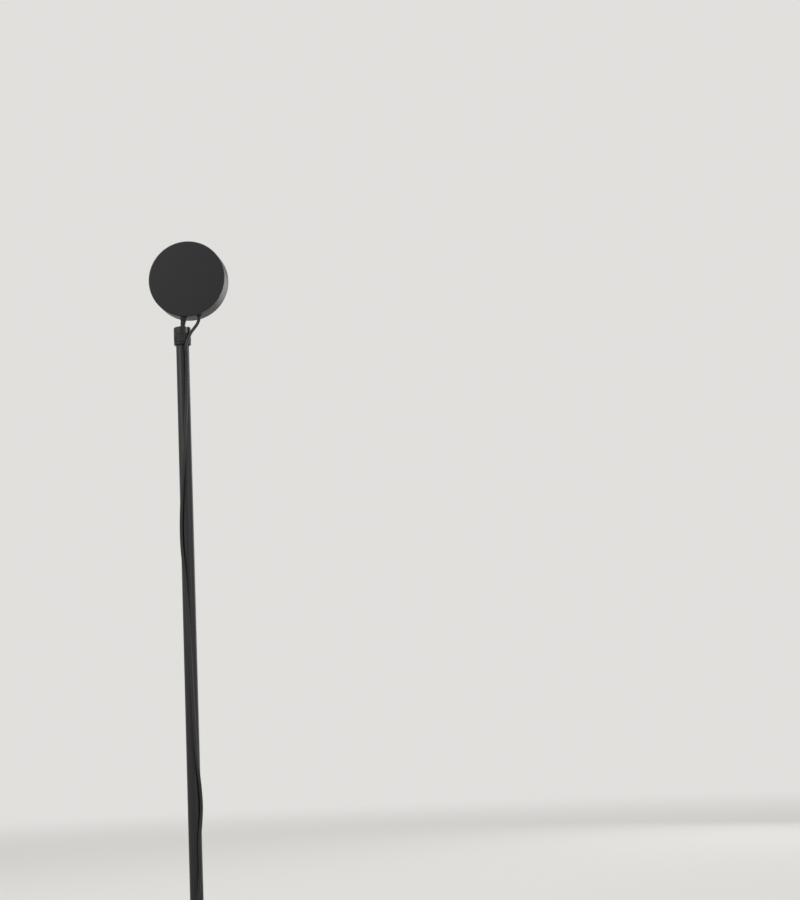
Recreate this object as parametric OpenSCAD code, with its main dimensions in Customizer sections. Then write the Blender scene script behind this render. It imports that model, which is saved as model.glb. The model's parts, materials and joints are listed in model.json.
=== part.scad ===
// Sunset projection lamp: a round projector head on a ball joint, a straight pole,
// a weighted round base and a cord with an inline switch and a plug.
// Millimetres. The origin is the centre of the base's underside, +Z is up, the beam runs along +Y.

/* [Stand] */
// Height of the ball's centre above the table
ball_height = 650; // [300:10:700]
// Diameter of the pole
pole_d = 13.5; // [11:0.5:15]
// Wall of the pole
pole_wall = 1.1; // [0.8:0.1:1.5]
// Diameter of the base
base_d = 180; // [160:5:200]
// Height of the base's flat top
base_h = 15; // [14:0.5:20]
// Sheet thickness of the base cover
cover_wall = 1.2; // [0.8:0.1:1.6]
// Rounding of the base cover's top edge
cover_edge_r = 4; // [2:0.5:6]
// Thickness of the foot pad
pad_h = 2; // [1:0.5:2]
// Height of the ring round the pole's foot
ferrule_h = 6; // [3:0.5:12]
// Diameter of the ring round the pole's foot
ferrule_d = 22; // [19:0.5:30]
// Thread diameter of the bolt that holds the pole
bolt_d = 8; // [5:0.5:8]

/* [Ball joint] */
// Diameter of the ball
ball_d = 12; // [11:0.2:12.4]
// Diameter of the stem between ball and head
stem_d = 5; // [4.5:0.1:5.4]
// Lean of the stem to the right of the pole, in degrees
lean = 7.5; // [0:0.5:9]
// Outer diameter of the ball socket, its lock ring and the collar
socket_d = 17.8; // [17:0.1:19]
// Height of the socket's rim above the ball's centre
socket_rise = 3.6; // [3.4:0.1:3.8]
// Distance from the ball's centre down to the lock ring
socket_drop = 4.2; // [4:0.1:4.6]
// Height of the space that the lock ring takes
lock_ring_space = 7.8; // [7.6:0.1:10]
// Wall of the lock ring
lock_ring_wall = 0.95; // [0.8:0.05:1.2]
// Number of grooves round the lock ring
knurl_count = 32; // [16:2:40]
// Height of the collar between the lock ring and the pole
collar_h = 3.3; // [2.5:0.1:6]
// Width of the slits in the socket
slit_w = 1.9; // [1:0.1:2.4]
// Depth of the slits below the rim
slit_depth = 7.2; // [5:0.1:7.2]
// Turn of the first slit from the lamp's back, to the right, in degrees
slit_turn = 44; // [0:1:60]

/* [Head] */
// Diameter of the head
head_d = 81; // [76:1:90]
// Depth of the head along the beam
head_depth = 23; // [22.5:0.5:28]
// Wall of the head's side
shell_wall = 2; // [1.6:0.1:2.4]
// Thickness of the head's rear wall at its middle
rear_wall = 2.2; // [2:0.1:2.6]
// Rise of the domed rear face
rear_dome = 0.6; // [0.4:0.1:1]
// Rounding of the head's rear edge
edge_r = 1.2; // [0.8:0.1:2]
// Distance from the ball's centre to the head's axis
head_rise = 55; // [54:0.5:62]
// Distance from the rear face to the stem's axis
stem_back = 7; // [6.8:0.1:7.4]
// Diameter of the boss that takes the stem
boss_d = 7.4; // [6.6:0.1:7.8]
// Length of the boss outside the head
boss_h = 4; // [3:0.5:5]
// Diameter of the boss at its lower end
boss_tip_d = 5.8; // [5.4:0.1:6.4]
// Thread diameter of the stem's upper end
stem_thread_d = 4; // [3:0.1:4]

/* [Optics] */
// Diameter of the front lens
lens_d = 61; // [60:0.5:62]
// Thickness of the lens at its edge
lens_edge = 2; // [1.5:0.1:2.2]
// Width of the lens's flat edge
lens_flat = 2.5; // [2:0.1:4]
// Rise of the lens's domed face
lens_rise = 4.5; // [4:0.5:5]
// Height of the gasket in front of the lens
gasket_h = 1; // [0.5:0.1:1.5]
// Free space round the colour filter
filter_gap = 0.5; // [0.2:0.1:1]
// Thickness of the colour filter
filter_h = 2; // [1:0.1:2.4]
// Outer diameter of the tube that carries filter and lens
lens_tube_d = 62; // [62:0.5:63]
// Wall of the tube that carries filter and lens
lens_tube_wall = 2; // [1.5:0.1:2]
// Height of the front ring's lip
lip_h = 2; // [1.5:0.5:2]
// Thickness of the heat spreader
spreader_h = 2; // [1.5:0.1:2.4]
// Diameter of the heat spreader
spreader_d = 66; // [63:1:67]
// Diameter of the board under the light source
led_board_d = 28; // [26:1:30]
// Thickness of the circuit boards
board_h = 1.2; // [1:0.1:1.4]
// Width of the light source
led_w = 5; // [3:0.5:5.5]

/* [Cord] */
// Diameter of the cord
cord_d = 3.3; // [3:0.1:3.4]
// Distance of the cord's hole from the stem's axis
cord_offset = 16.5; // [14:0.5:20]
// Diameter of the coil at the middle of its turns
coil_d = 38; // [36:0.5:40]
// Free space between neighbouring turns of the coil
coil_gap = 0.55; // [0.5:0.05:0.8]

/* [Switch and plug] */
// Length of the inline switch
switch_l = 48; // [44:1:56]
// Width of the inline switch
switch_w = 20; // [18:0.5:24]
// Height of the inline switch
switch_h = 11; // [10.5:0.5:14]
// Wall of the inline switch
switch_wall = 1.5; // [1:0.1:1.6]
// Diameter of the switch's button
button_d = 10; // [8:0.5:11]
// How far the button travels
button_travel = 1; // [0.5:0.1:1.2]
// Length of the plug's grip
grip_l = 26; // [22:1:32]
// Width of the plug's grip
grip_w = 16; // [15:0.5:18]
// Height of the plug's grip
grip_h = 8.4; // [8:0.2:10]
// Length of the plug's steel shell outside the grip
plug_shell_l = 12.5; // [11:0.5:14]

/* [Hidden] */
$fn = 96;

// Clearances
fit = 0.02;         // between parts that are screwed, pressed or glued together
running = 0.05;     // between the ball, its liner and the socket, and under the lock ring
face_gap = 0.1;     // above and below the lock ring
button_gap = 0.2;   // round the button
eps = 0.01;         // overrun of a cut past a face

// Radii
head_r = head_d / 2;
bore_r = head_r - shell_wall;
ball_r = ball_d / 2;
socket_r = socket_d / 2;
pole_r = pole_d / 2;
base_r = base_d / 2;
cord_r = cord_d / 2;
lens_r = lens_d / 2;
lens_tube_r = lens_tube_d / 2;
lens_tube_bore = lens_tube_d - 2 * lens_tube_wall;

// Heights on the stand
collar_top = ball_height - socket_drop - lock_ring_space;
pole_top = collar_top - collar_h;
cover_low = 1;              // gap under the cover's rim
weight_gap = 2.8;           // space between the weight's flat and the cover
hub_d = 28;                 // raised middle of the weight that carries the cover
washer_h = 1.6;
washer_d = 18;
bolt_head_w = 1.6 * bolt_d;
bolt_head_h = 0.6 * bolt_d;
bolt_bore_h = 6;            // depth of the recess for the bolt's head
insert_l = 20;              // length of the threaded insert in the pole

// Ball joint
liner_top = 0.6;            // distance from the ball's centre down to the liner's rim
liner_wall = 0.5;
liner_r = ball_r + liner_wall;
liner_floor = 1.4;
liner_low = ball_r + liner_floor;
cavity_low = liner_low + 1.2;
mouth_lip = 0.45;           // height of the flared part of the socket's mouth
mouth_r = 0.862 * ball_r;
socket_edge_r = 1;
shank_r = socket_r - lock_ring_wall - running;
stud_d = 6;
stud_l = 3.2;
knurl_d = 0.9;
collar_chamfer = 0.7;
plug_in_pole = 18;
set_screw_d = 3;
set_screw_l = 4;
set_screw_drop = 9;         // below the pole's top
stem_seat = 1;              // height of the stem's end above the ball's centre

// Optics, as distances from the middle of the rear face
spreader_at = rear_wall;
board_at = spreader_at + spreader_h;
chip_at = board_at + board_h;
chip_h = 1.8;
shell_len = head_depth - lip_h;
gasket_w = 1.8;
lens_at = shell_len - lip_h - lens_edge - gasket_h;
shoulder_at = lens_at + lens_edge + gasket_h;
filter_step = 2;
filter_step_w = 5;
filter_at = 12;
filter_d = lens_tube_bore - 2 * filter_gap;
clip_h = 1;
clip_w = 2;
aperture_r = lens_r - lens_flat;
lens_sphere_r = (aperture_r * aperture_r + lens_rise * lens_rise) / (2 * lens_rise);
skirt_wall = 1.95;
skirt_l = 8;
ring_chamfer = 0.6;
cone_out = 5;               // how much wider the ring's cone is at the front
reflector_wall = 1;
reflector_neck = 2.4;
board_screw_d = 2.5;
board_screw_head_d = 4.4;
board_screw_head_h = 1.5;
board_screw_ring_r = led_board_d / 2 - 2.6;
driver_size = [10, 7];
driver_at = [cord_offset - 8, -led_board_d / 2 - 6];    // lower left corner, from the head's axis
driver_h = 1.2;
lead_r = 0.6;
lead_space = 1.5;

// The cord's hole, in the head's own frame
grommet_r = cord_r + 1.25;
grommet_tip_r = cord_r + 0.65;
cord_wall_z = -sqrt(head_r * head_r - cord_offset * cord_offset);
grommet_tip = cord_wall_z - 1.2;
grommet_taper = 2.8;
grommet_in = cord_wall_z + 4.6;
crimp_h = 2;
jacket_end = cord_wall_z + 8.4;
nut_w = 7;
nut_h = 3.2;
nut_seat = -sqrt(bore_r * bore_r - nut_w * nut_w / 3) + fit;
thread_past_nut = 0.8;
inner_room = 0.5;           // between the lens tube and the stem's end, nut or crimp

// Places on the table
floor_z = cord_r + 0.1;
switch_at = [105, -2, 0];
switch_heading = 90;
plug_at = [137, 18, 0];
plug_heading = -90;
entry_h = 4.2;              // height of the cord's middle where it enters switch and plug
relief_r = 3.2;
relief_tip_r = cord_r + 0.5;
switch_relief_l = 12;
plug_relief_l = 14;

// ---------------------------------------------------------------- helpers

// Frame of the ball: +Z runs up the leaning stem
module at_ball() {
    translate([0, 0, ball_height]) rotate([0, lean, 0]) children();
}

// Frame of the head: origin where the stem's axis meets the head's axis
module at_head() {
    at_ball() translate([0, 0, head_rise]) children();
}

// Frame of the beam: origin in the middle of the rear face, +Z along the beam
module in_beam() {
    at_head() rotate([-90, 0, 0]) translate([0, 0, -stem_back]) children();
}

module ring(d, bore, h) {
    difference() {
        cylinder(d = d, h = h);
        translate([0, 0, -eps]) cylinder(d = bore, h = h + 2 * eps);
    }
}

// Flat block with round upright corners, centred on its length and width
module slab(l, w, h, r) {
    translate([-l / 2 + r, -w / 2, 0]) cube([l - 2 * r, w, h]);
    translate([-l / 2, -w / 2 + r, 0]) cube([l, w - 2 * r, h]);
    for (x = [-1, 1], y = [-1, 1])
        translate([x * (l / 2 - r), y * (w / 2 - r), 0]) cylinder(r = r, h = h, $fn = 48);
}

module hexagon(w, h) {
    cylinder(d = w / cos(30), h = h, $fn = 6);
}

function unit(v) = v / norm(v);
function leaned(x, z) = [x * cos(lean) + z * sin(lean), 0, ball_height - x * sin(lean) + z * cos(lean)];

// Headings of a path at its points, and one side direction carried along it without twist
function headings(path) = [
    for (i = [0 : len(path) - 1])
        unit(path[min(i + 1, len(path) - 1)] - path[max(i - 1, 0)])
];
function squared(side, heading) = unit(side - (side * heading) * heading);
function carried(ways, side, i) =
    i == len(ways) ? [] : let (next = squared(side, ways[i])) concat([next], carried(ways, next, i + 1));

// Closed tube swept along a path
module tube(path, r, sides) {
    ways = headings(path);
    across = carried(ways, [0.3, 1, 0.2], 0);
    last = (len(path) - 1) * sides;
    points = [
        for (i = [0 : len(path) - 1], k = [0 : sides - 1])
            let (turn = 360 * (k + 0.5) / sides)
            path[i] + r * (cos(turn) * across[i] + sin(turn) * cross(ways[i], across[i]))
    ];
    walls = [
        for (i = [0 : len(path) - 2], k = [0 : sides - 1])
            let (a = i * sides + k, b = i * sides + (k + 1) % sides)
            each [[a, a + sides, b + sides], [a, b + sides, b]]
    ];
    caps = [for (k = [1 : sides - 2]) each [[0, k, k + 1], [last, last + k + 1, last + k]]];
    polyhedron(points = points, faces = concat(walls, caps), convexity = 10);
}

function path_length(path) =
    len(path) < 2 ? 0 : sum([for (i = [1 : len(path) - 1]) norm(path[i] - path[i - 1])]);
function sum(list) = list * [for (item = list) 1];

// ---------------------------------------------------------------- the cord's route

// Out of the grommet, along the stem's direction
cord_exit = leaned(cord_offset, head_rise + grommet_tip);
exit_heading = unit(leaned(0, -1) - leaned(0, 0));

// Round the socket to the pole's back: places from the ball's centre
jumper_points = [
    [15.8, 0.8, 6.6], [13.1, -1.5, 2], [10.7, -3.7, -2], [9.1, -6.1, -6], [7.6, -7.9, -10.3],
    [6.3, -8.9, -14.7], [5.6, -9.1, -18.8], [5.5, -8.4, -23.8]
];
jumper_end = [5.5, -7.4, -31];

// Down the pole: height above the table, turn round the pole from its back to the right
pole_points = [
    [604, 37], [578, 30], [548, 17], [517, 2], [492, -11], [472, -22], [455, -30], [446, -33],
    [437, -34], [428, -33], [419, -30], [409, -24], [397, -16], [372, -5], [342, 5], [307, 13],
    [273, 20], [243, 26], [219, 32], [204, 39], [190, 50], [174, 62], [159, 67], [143, 56],
    [130, 44], [117, 40], [103, 42], [88, 36], [74, 26]
];
pole_cord_r = pole_r + cord_r + 0.15;

// Off the pole, over the base's top and its rim, down to the table
base_points = [
    [1.8, -9, 56], [2.6, -10.2, 45], [4.6, -13.7, 34], [8.4, -18.4, 25], [13, -24, 19.6],
    [18.6, -30.6, 17.2], [24.4, -38.2, 16.8], [29.4, -46.6, 16.8], [33.4, -55.4, 16.8],
    [37, -64, 16.8], [40.6, -72, 16.8], [44.4, -79.4, 16.4], [48, -85.6, 14], [51, -90.4, 9.6],
    [53.6, -94.4, 5], [56, -98, 2.3], [58.4, -101.6, 1.75]
];

// The coil: it starts at this place with this heading, and turns to the left
coil_start = [63, -109, 0];
coil_heading = -60;
coil_turns = 7.5;
coil_rings = 24;
coil_pitch = cord_d + coil_gap;
coil_out_r = coil_d / 2 + coil_pitch * coil_turns / 4;
coil_mid = coil_start + coil_out_r * [cos(coil_heading + 90), sin(coil_heading + 90), 0];

function coil_r(t) = coil_out_r - coil_pitch * min(t, coil_turns - t);
function coil_climb(t) = min(max(2 * (t - coil_turns / 2) + 0.5, 0), 1);
function coil_point(t) =
    let (a = coil_heading - 90 + 360 * t)
    coil_mid + [coil_r(t) * cos(a), coil_r(t) * sin(a), floor_z + coil_pitch * coil_climb(t)];
function coil_way(t) = [cos(coil_heading + 360 * t), sin(coil_heading + 360 * t), 0];

coil_turn_points = [for (i = [0 : coil_turns * coil_rings]) coil_point(i / coil_rings)];
coil_in = coil_point(0) - cord_d * coil_way(0);
coil_out = coil_point(coil_turns) + cord_d * coil_way(coil_turns);
coil_path = concat([coil_in], coil_turn_points, [coil_out]);

// From the coil to the switch, and from the switch to the plug
tail_points = [
    [104, -74.5, 5.5], [103.4, -71.5, 4.9], [103.3, -68.3, 4], [103.6, -64.8, 2.9], [104.2, -60.5, 2],
    [104.8, -56, 1.75], [105, -51.5, 2.3], [105, -46.5, 3.5]
];
end_points = [
    [105, 41, 3.8], [105, 46, 2.6], [105.6, 52, 1.75], [108.4, 57.6, 1.75], [113.6, 62.4, 1.75],
    [120.6, 64.4, 1.75], [127.6, 62.8, 1.75], [133, 58, 1.75], [136, 51.4, 1.75], [137, 44, 1.75],
    [137, 37, 1.75], [137, 30.5, 2.5], [137, 25, 3.8]
];

function along(at, heading, x, z) = at + [x * cos(heading), x * sin(heading), z];
function on_pole(z, turn) = [pole_cord_r * sin(turn), -pole_cord_r * cos(turn), z];
function up_to_ball(p) = p + [0, 0, ball_height];

switch_in = along(switch_at, switch_heading, -switch_l / 2 - switch_relief_l, entry_h);
switch_out = along(switch_at, switch_heading, switch_l / 2 + switch_relief_l, entry_h);
plug_in = plug_at + [0, 0, entry_h];

jumper_path = concat(
    [cord_exit, cord_exit + cord_d * exit_heading],
    [for (p = jumper_points) up_to_ball(p)],
    [up_to_ball(jumper_end) + [0, 0, cord_d], up_to_ball(jumper_end)]
);
drop_path = concat(
    [up_to_ball(jumper_end), up_to_ball(jumper_end) - [0, 0, cord_d]],
    [for (p = pole_points) on_pole(p[0], p[1])],
    base_points,
    [coil_in - cord_d * coil_way(0), coil_in]
);
tail_path = concat(
    [coil_out, coil_out + cord_d * coil_way(coil_turns)],
    tail_points,
    [along(switch_in, switch_heading, -cord_d, 0), switch_in]
);
end_path = concat(
    [switch_out, along(switch_out, switch_heading, cord_d, 0)],
    end_points,
    [along(plug_in, plug_heading, -cord_d, 0), plug_in]
);

// Least free space between two places of the coil that are half a turn or more apart
coil_least_gap = min([
    for (i = [0 : len(coil_turn_points) - 1])
        for (j = [i + coil_rings / 2 : 1 : len(coil_turn_points) - 1])
            norm(coil_turn_points[i] - coil_turn_points[j])
]) - cord_d;

union() {
    echo(coil_least_gap = coil_least_gap);
    echo(jumper = path_length(jumper_path), drop = path_length(drop_path), coil = path_length(coil_path));
    echo(tail = path_length(tail_path), end = path_length(end_path));
    echo(rings = len(jumper_path) + len(drop_path) + len(tail_path) + len(end_path));
}

// ---------------------------------------------------------------- head

// Half section of the closed shell: x is the radius, y the distance from the rear face
module shell_section() {
    flat_r = head_r - edge_r;
    dome_r = (flat_r * flat_r + rear_dome * rear_dome) / (2 * rear_dome);
    translate([0, rear_dome]) square([flat_r, shell_len - rear_dome]);
    translate([0, rear_dome + edge_r]) square([head_r, shell_len - rear_dome - edge_r]);
    translate([flat_r, rear_dome + edge_r]) circle(edge_r);
    intersection() {
        translate([0, dome_r]) circle(dome_r, $fn = 3600);
        square([flat_r, rear_dome]);
    }
}

// Boss that takes the stem, tapered at its lower end
module boss() {
    taper = boss_h / 2;
    cylinder(d1 = boss_tip_d, d2 = boss_d, h = taper);
    translate([0, 0, taper]) cylinder(d = boss_d, h = boss_h + shell_wall - taper);
}

module head_shell() {
    color("#1d1c1e") difference() {
        union() {
            in_beam() rotate_extrude() shell_section();
            at_head() translate([0, 0, -head_r - boss_h]) boss();
        }
        in_beam() translate([0, 0, rear_wall]) cylinder(r = bore_r, h = head_depth);
        at_head() translate([0, 0, -head_r - boss_h - eps])
            cylinder(d = stem_thread_d + 2 * fit, h = boss_h + 2 * shell_wall);
        at_head() translate([cord_offset, 0, grommet_tip]) cylinder(r = grommet_r + fit, h = 10);
    }
}

module front_ring() {
    skirt_r = bore_r - running;
    hole_r = aperture_r + 0.5;
    color("#1d1c1e") in_beam() rotate_extrude() polygon([
        [skirt_r - skirt_wall, shell_len - skirt_l], [skirt_r, shell_len - skirt_l],
        [skirt_r, shell_len], [head_r, shell_len],
        [head_r, head_depth - ring_chamfer], [head_r - ring_chamfer, head_depth],
        [hole_r + cone_out, head_depth], [hole_r, shoulder_at + gasket_h],
        [hole_r, shoulder_at], [skirt_r - skirt_wall, shoulder_at]
    ]);
}

module projection_lens() {
    color("#d9ecf2", 0.4) in_beam() translate([0, 0, lens_at]) {
        cylinder(r = lens_r, h = lens_edge);
        translate([0, 0, lens_edge]) intersection() {
            translate([0, 0, lens_rise - lens_sphere_r]) sphere(lens_sphere_r, $fn = 192);
            cylinder(r = lens_r, h = lens_rise + 1);
        }
    }
}

module lens_gasket() {
    color("#2a2a2a") in_beam() translate([0, 0, lens_at + lens_edge])
        ring(lens_d - 2 * fit, lens_d - 2 * gasket_w, gasket_h);
}

module filter_disc() {
    color("#e8641e", 0.7) in_beam() translate([0, 0, filter_at]) cylinder(d = filter_d, h = filter_h);
}

module filter_clip() {
    color("#b8babd") in_beam() translate([0, 0, filter_at + filter_h])
        ring(lens_tube_bore - 2 * fit, lens_tube_bore - 2 * clip_w, clip_h);
}

// Tube between the heat spreader and the lens, with an inner step under the filter
module lens_tube() {
    bore = lens_tube_bore;
    notch_w = 5;
    notch_h = 4.5;
    color("#151515") in_beam() difference() {
        translate([0, 0, board_at]) cylinder(d = lens_tube_d, h = lens_at - board_at);
        translate([0, 0, board_at - eps]) cylinder(d = bore, h = filter_at - filter_step - board_at + eps);
        translate([0, 0, filter_at - filter_step - eps])
            cylinder(d = bore - 2 * filter_step_w, h = filter_step + 2 * eps);
        translate([0, 0, filter_at]) cylinder(d = bore, h = head_depth);
        translate([cord_offset - notch_w / 2, lens_tube_r / 2, board_at - eps])
            cube([notch_w, lens_tube_r / 2, notch_h]);
        translate([0, -nut_seat, stem_back]) rotate([90, 0, 0])
            cylinder(d = nut_w / cos(30) + 2 * inner_room, h = nut_h + thread_past_nut + inner_room);
        translate([cord_offset, -grommet_in, stem_back]) rotate([90, 0, 0])
            cylinder(r = grommet_r + inner_room, h = crimp_h + inner_room);
    }
}

module reflector() {
    neck_r = led_w / 2 + 1.9;
    rim_r = lens_tube_r - lens_tube_wall - filter_step_w;
    rim_at = filter_at - filter_step;
    color("#cfd2d6") in_beam() rotate_extrude() polygon([
        [neck_r, chip_at], [neck_r + reflector_wall, chip_at],
        [neck_r + reflector_wall, chip_at + reflector_neck - reflector_wall],
        [rim_r, rim_at - reflector_wall], [rim_r + 2, rim_at - reflector_wall], [rim_r + 2, rim_at],
        [rim_r - 1, rim_at], [neck_r, chip_at + reflector_neck]
    ]);
}

module around_board() {
    for (turn = [90 : 120 : 330])
        rotate([0, 0, turn]) translate([board_screw_ring_r, 0, 0]) children();
}

module led_board() {
    color("#f0f0ee") in_beam() difference() {
        translate([0, 0, board_at]) cylinder(d = led_board_d, h = board_h);
        around_board() translate([0, 0, board_at - eps])
            cylinder(d = board_screw_d + 2 * fit, h = board_h + 1);
    }
}

module led_chip() {
    color("#f4d75a") in_beam() translate([-led_w / 2, -led_w / 2, chip_at]) cube([led_w, led_w, chip_h]);
}

module board_screws() {
    color("#b8babd") in_beam() around_board() {
        translate([0, 0, spreader_at + 0.4]) cylinder(d = board_screw_d, h = spreader_h + board_h);
        translate([0, 0, chip_at]) cylinder(d = board_screw_head_d, h = board_screw_head_h);
    }
}

module heat_spreader() {
    color("#a9adb2") in_beam() difference() {
        translate([0, 0, spreader_at]) cylinder(d = spreader_d, h = spreader_h);
        around_board() translate([0, 0, spreader_at + 0.3])
            cylinder(d = board_screw_d + 2 * fit, h = spreader_h);
    }
}

// Small board beside the light source, with a coil, a chip and a capacitor
module driver_board() {
    top = board_at + driver_h;
    color("#1f5d3a") in_beam() translate([driver_at[0], -driver_at[1] - driver_size[1], 0]) {
        translate([0, 0, board_at]) cube([driver_size[0], driver_size[1], driver_h]);
        translate([0.6, 0.6, top]) cube([3.4, 3.4, 2.2]);
        translate([0.8, 4.6, top]) cube([2.6, 1.8, 1]);
        translate([5.4, 1.7, top]) cylinder(d = 2, h = 2.4, $fn = 24);
    }
}

// End of the cord inside the head: its jacket, then its two wires
module inner_lead() {
    wire_end = driver_at[1] + 1.2;
    wire_drop = stem_back - board_at - driver_h - lead_r;
    color("#1a1a1c") at_head() translate([cord_offset, 0, 0]) {
        translate([0, 0, grommet_tip]) cylinder(r = cord_r, h = jacket_end - grommet_tip, $fn = 32);
        for (side = [-1, 1])
            translate([side * lead_space / 2, -wire_drop, jacket_end - 1])
                cylinder(r = lead_r, h = wire_end - jacket_end + 1, $fn = 24);
    }
}

module cord_crimp() {
    color("#b8babd") at_head() translate([cord_offset, 0, grommet_in])
        ring(2 * grommet_r, cord_d + 2 * fit, crimp_h);
}

module cord_grommet() {
    color("#161616") at_head() translate([cord_offset, 0, 0]) difference() {
        union() {
            translate([0, 0, grommet_tip + grommet_taper])
                cylinder(r = grommet_r, h = grommet_in - grommet_tip - grommet_taper);
            translate([0, 0, grommet_tip]) cylinder(r1 = grommet_tip_r, r2 = grommet_r, h = grommet_taper);
        }
        translate([0, 0, grommet_tip - eps]) cylinder(r = cord_r + fit, h = grommet_in - grommet_tip + 1);
    }
}

// ---------------------------------------------------------------- ball joint

module stem() {
    shoulder = head_rise - head_r - boss_h;
    thread_end = head_rise + nut_seat + nut_h + thread_past_nut;
    color("#26262a") at_ball() {
        translate([0, 0, stem_seat]) cylinder(d = stem_d, h = shoulder - stem_seat);
        translate([0, 0, shoulder - eps]) cylinder(d = stem_thread_d, h = thread_end - shoulder + eps);
    }
}

module stem_nut() {
    color("#b8babd") at_head() translate([0, 0, nut_seat]) difference() {
        hexagon(nut_w, nut_h);
        translate([0, 0, -eps]) cylinder(d = stem_thread_d + 2 * fit, h = nut_h + 1);
    }
}

module ball() {
    color("#c9ccd1") at_ball() difference() {
        sphere(ball_r);
        translate([0, 0, stem_seat]) cylinder(d = stem_d + 2 * fit, h = ball_r);
    }
}

// Nylon cup under the ball
module ball_liner() {
    color("#e4e2da") translate([0, 0, ball_height]) difference() {
        translate([0, 0, -liner_low]) cylinder(r = liner_r, h = liner_low - liner_top);
        sphere(ball_r + running);
        translate([0, 0, -liner_low - eps]) cylinder(d = ball_d / 3, h = liner_floor + 1);
    }
}

module spring_washer() {
    leaf = 0.4;
    color("#b8babd") translate([0, 0, ball_height]) rotate_extrude() polygon([
        [liner_r / 2, -cavity_low], [liner_r - 0.3, -liner_low - leaf - running],
        [liner_r - 0.3, -liner_low - running], [liner_r / 2, -cavity_low + leaf]
    ]);
}

// Slit cup that grips the ball, with a plain shank that the lock ring turns on
module socket() {
    wall_w = socket_r - ball_r + 1;
    color("#1d1c1e") translate([0, 0, ball_height]) difference() {
        rotate_extrude() {
            translate([0, -socket_drop]) square([socket_r, socket_rise + socket_drop - socket_edge_r]);
            translate([0, -socket_drop]) square([socket_r - socket_edge_r, socket_rise + socket_drop]);
            translate([socket_r - socket_edge_r, socket_rise - socket_edge_r]) circle(socket_edge_r);
            translate([0, -socket_drop - lock_ring_space]) square([shank_r, lock_ring_space + 1]);
        }
        sphere(ball_r + running);
        translate([0, 0, -cavity_low]) cylinder(r = liner_r + running, h = cavity_low - liner_top);
        translate([0, 0, -1]) cylinder(r = mouth_r, h = socket_rise + 2);
        translate([0, 0, socket_rise - mouth_lip])
            cylinder(r1 = mouth_r, r2 = mouth_r + 2.4 * mouth_lip, h = mouth_lip + eps);
        for (turn = [slit_turn - 90, slit_turn + 90])
            rotate([0, 0, turn]) translate([ball_r - 1, -slit_w / 2, socket_rise - slit_depth])
                cube([wall_w + 1, slit_w, slit_depth + 1]);
        translate([0, 0, -socket_drop - lock_ring_space - eps]) cylinder(d = stud_d + 2 * fit, h = 6);
    }
}

module lock_ring() {
    h = lock_ring_space - 2 * face_gap;
    color("#0f0f10") translate([0, 0, collar_top + face_gap]) difference() {
        ring(socket_d, 2 * (socket_r - lock_ring_wall), h);
        for (i = [0 : knurl_count - 1])
            rotate([0, 0, 360 * i / knurl_count]) translate([socket_r + 0.2, 0, -eps])
                cylinder(d = knurl_d, h = h + 1, $fn = 16);
    }
}

module pole_collar() {
    low = -collar_h;
    color("#2a2a2d") translate([0, 0, collar_top]) difference() {
        union() {
            rotate_extrude() polygon([
                [0, low], [socket_r - collar_chamfer, low], [socket_r, low + collar_chamfer],
                [socket_r, -collar_chamfer], [socket_r - collar_chamfer, 0], [0, 0]
            ]);
            cylinder(d = stud_d, h = stud_l);
            translate([0, 0, low - plug_in_pole])
                cylinder(r = pole_r - pole_wall - fit, h = plug_in_pole);
        }
        translate([0, 0, low - set_screw_drop]) rotate([-90, 0, 0])
            cylinder(d = set_screw_d + 2 * fit, h = pole_d);
    }
}

// Set screw in the far side of the pole's top
module collar_screw() {
    color("#7d7f83") translate([0, pole_r - set_screw_l, pole_top - set_screw_drop]) rotate([-90, 0, 0])
        difference() {
            cylinder(d = set_screw_d, h = set_screw_l - 0.2);
            translate([0, 0, set_screw_l - 1.7]) hexagon(1.5, 2);
        }
}

// ---------------------------------------------------------------- stand

module pole() {
    color("#1b1b1d") difference() {
        translate([0, 0, base_h]) ring(pole_d, pole_d - 2 * pole_wall, pole_top - base_h);
        translate([0, 0, pole_top - set_screw_drop]) rotate([-90, 0, 0])
            cylinder(d = set_screw_d + 2 * fit, h = pole_d);
    }
}

module tube_insert() {
    color("#9a9da1") translate([0, 0, base_h])
        ring(pole_d - 2 * pole_wall - 2 * fit, bolt_d + 2 * fit, insert_l);
}

module pole_ferrule() {
    edge = 1.5;
    bore = pole_d + 2 * fit;
    color("#202022") translate([0, 0, base_h]) rotate_extrude() {
        translate([bore / 2, 0]) square([(ferrule_d - bore) / 2, ferrule_h - edge]);
        translate([bore / 2, 0]) square([(ferrule_d - bore) / 2 - edge, ferrule_h]);
        translate([ferrule_d / 2 - edge, ferrule_h - edge]) circle(edge);
    }
}

// Half section of a disc with a rounded top edge
module rounded_section(r, low, high, edge) {
    translate([0, low]) square([r, high - low - edge]);
    translate([0, low]) square([r - edge, high - low]);
    translate([r - edge, high - edge]) circle(edge);
}

module base_cover() {
    inner_edge = cover_edge_r - cover_wall;
    color("#1b1b1d") rotate_extrude() difference() {
        rounded_section(base_r, cover_low, base_h, cover_edge_r);
        rounded_section(base_r - cover_wall, -5, base_h - cover_wall, inner_edge);
        translate([-eps, 0]) square([bolt_d / 2 + 0.3, base_h + 1]);
    }
}

// Cast disc with a raised middle that carries the cover
module base_weight() {
    color("#3c3d40") difference() {
        union() {
            translate([0, 0, pad_h]) cylinder(r = base_r - 6, h = base_h - cover_wall - weight_gap - pad_h);
            translate([0, 0, pad_h]) cylinder(d = hub_d, h = base_h - cover_wall - pad_h);
        }
        translate([0, 0, pad_h - eps]) cylinder(d = washer_d + 2, h = bolt_bore_h + eps);
        cylinder(d = bolt_d + 0.6, h = base_h);
    }
}

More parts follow.
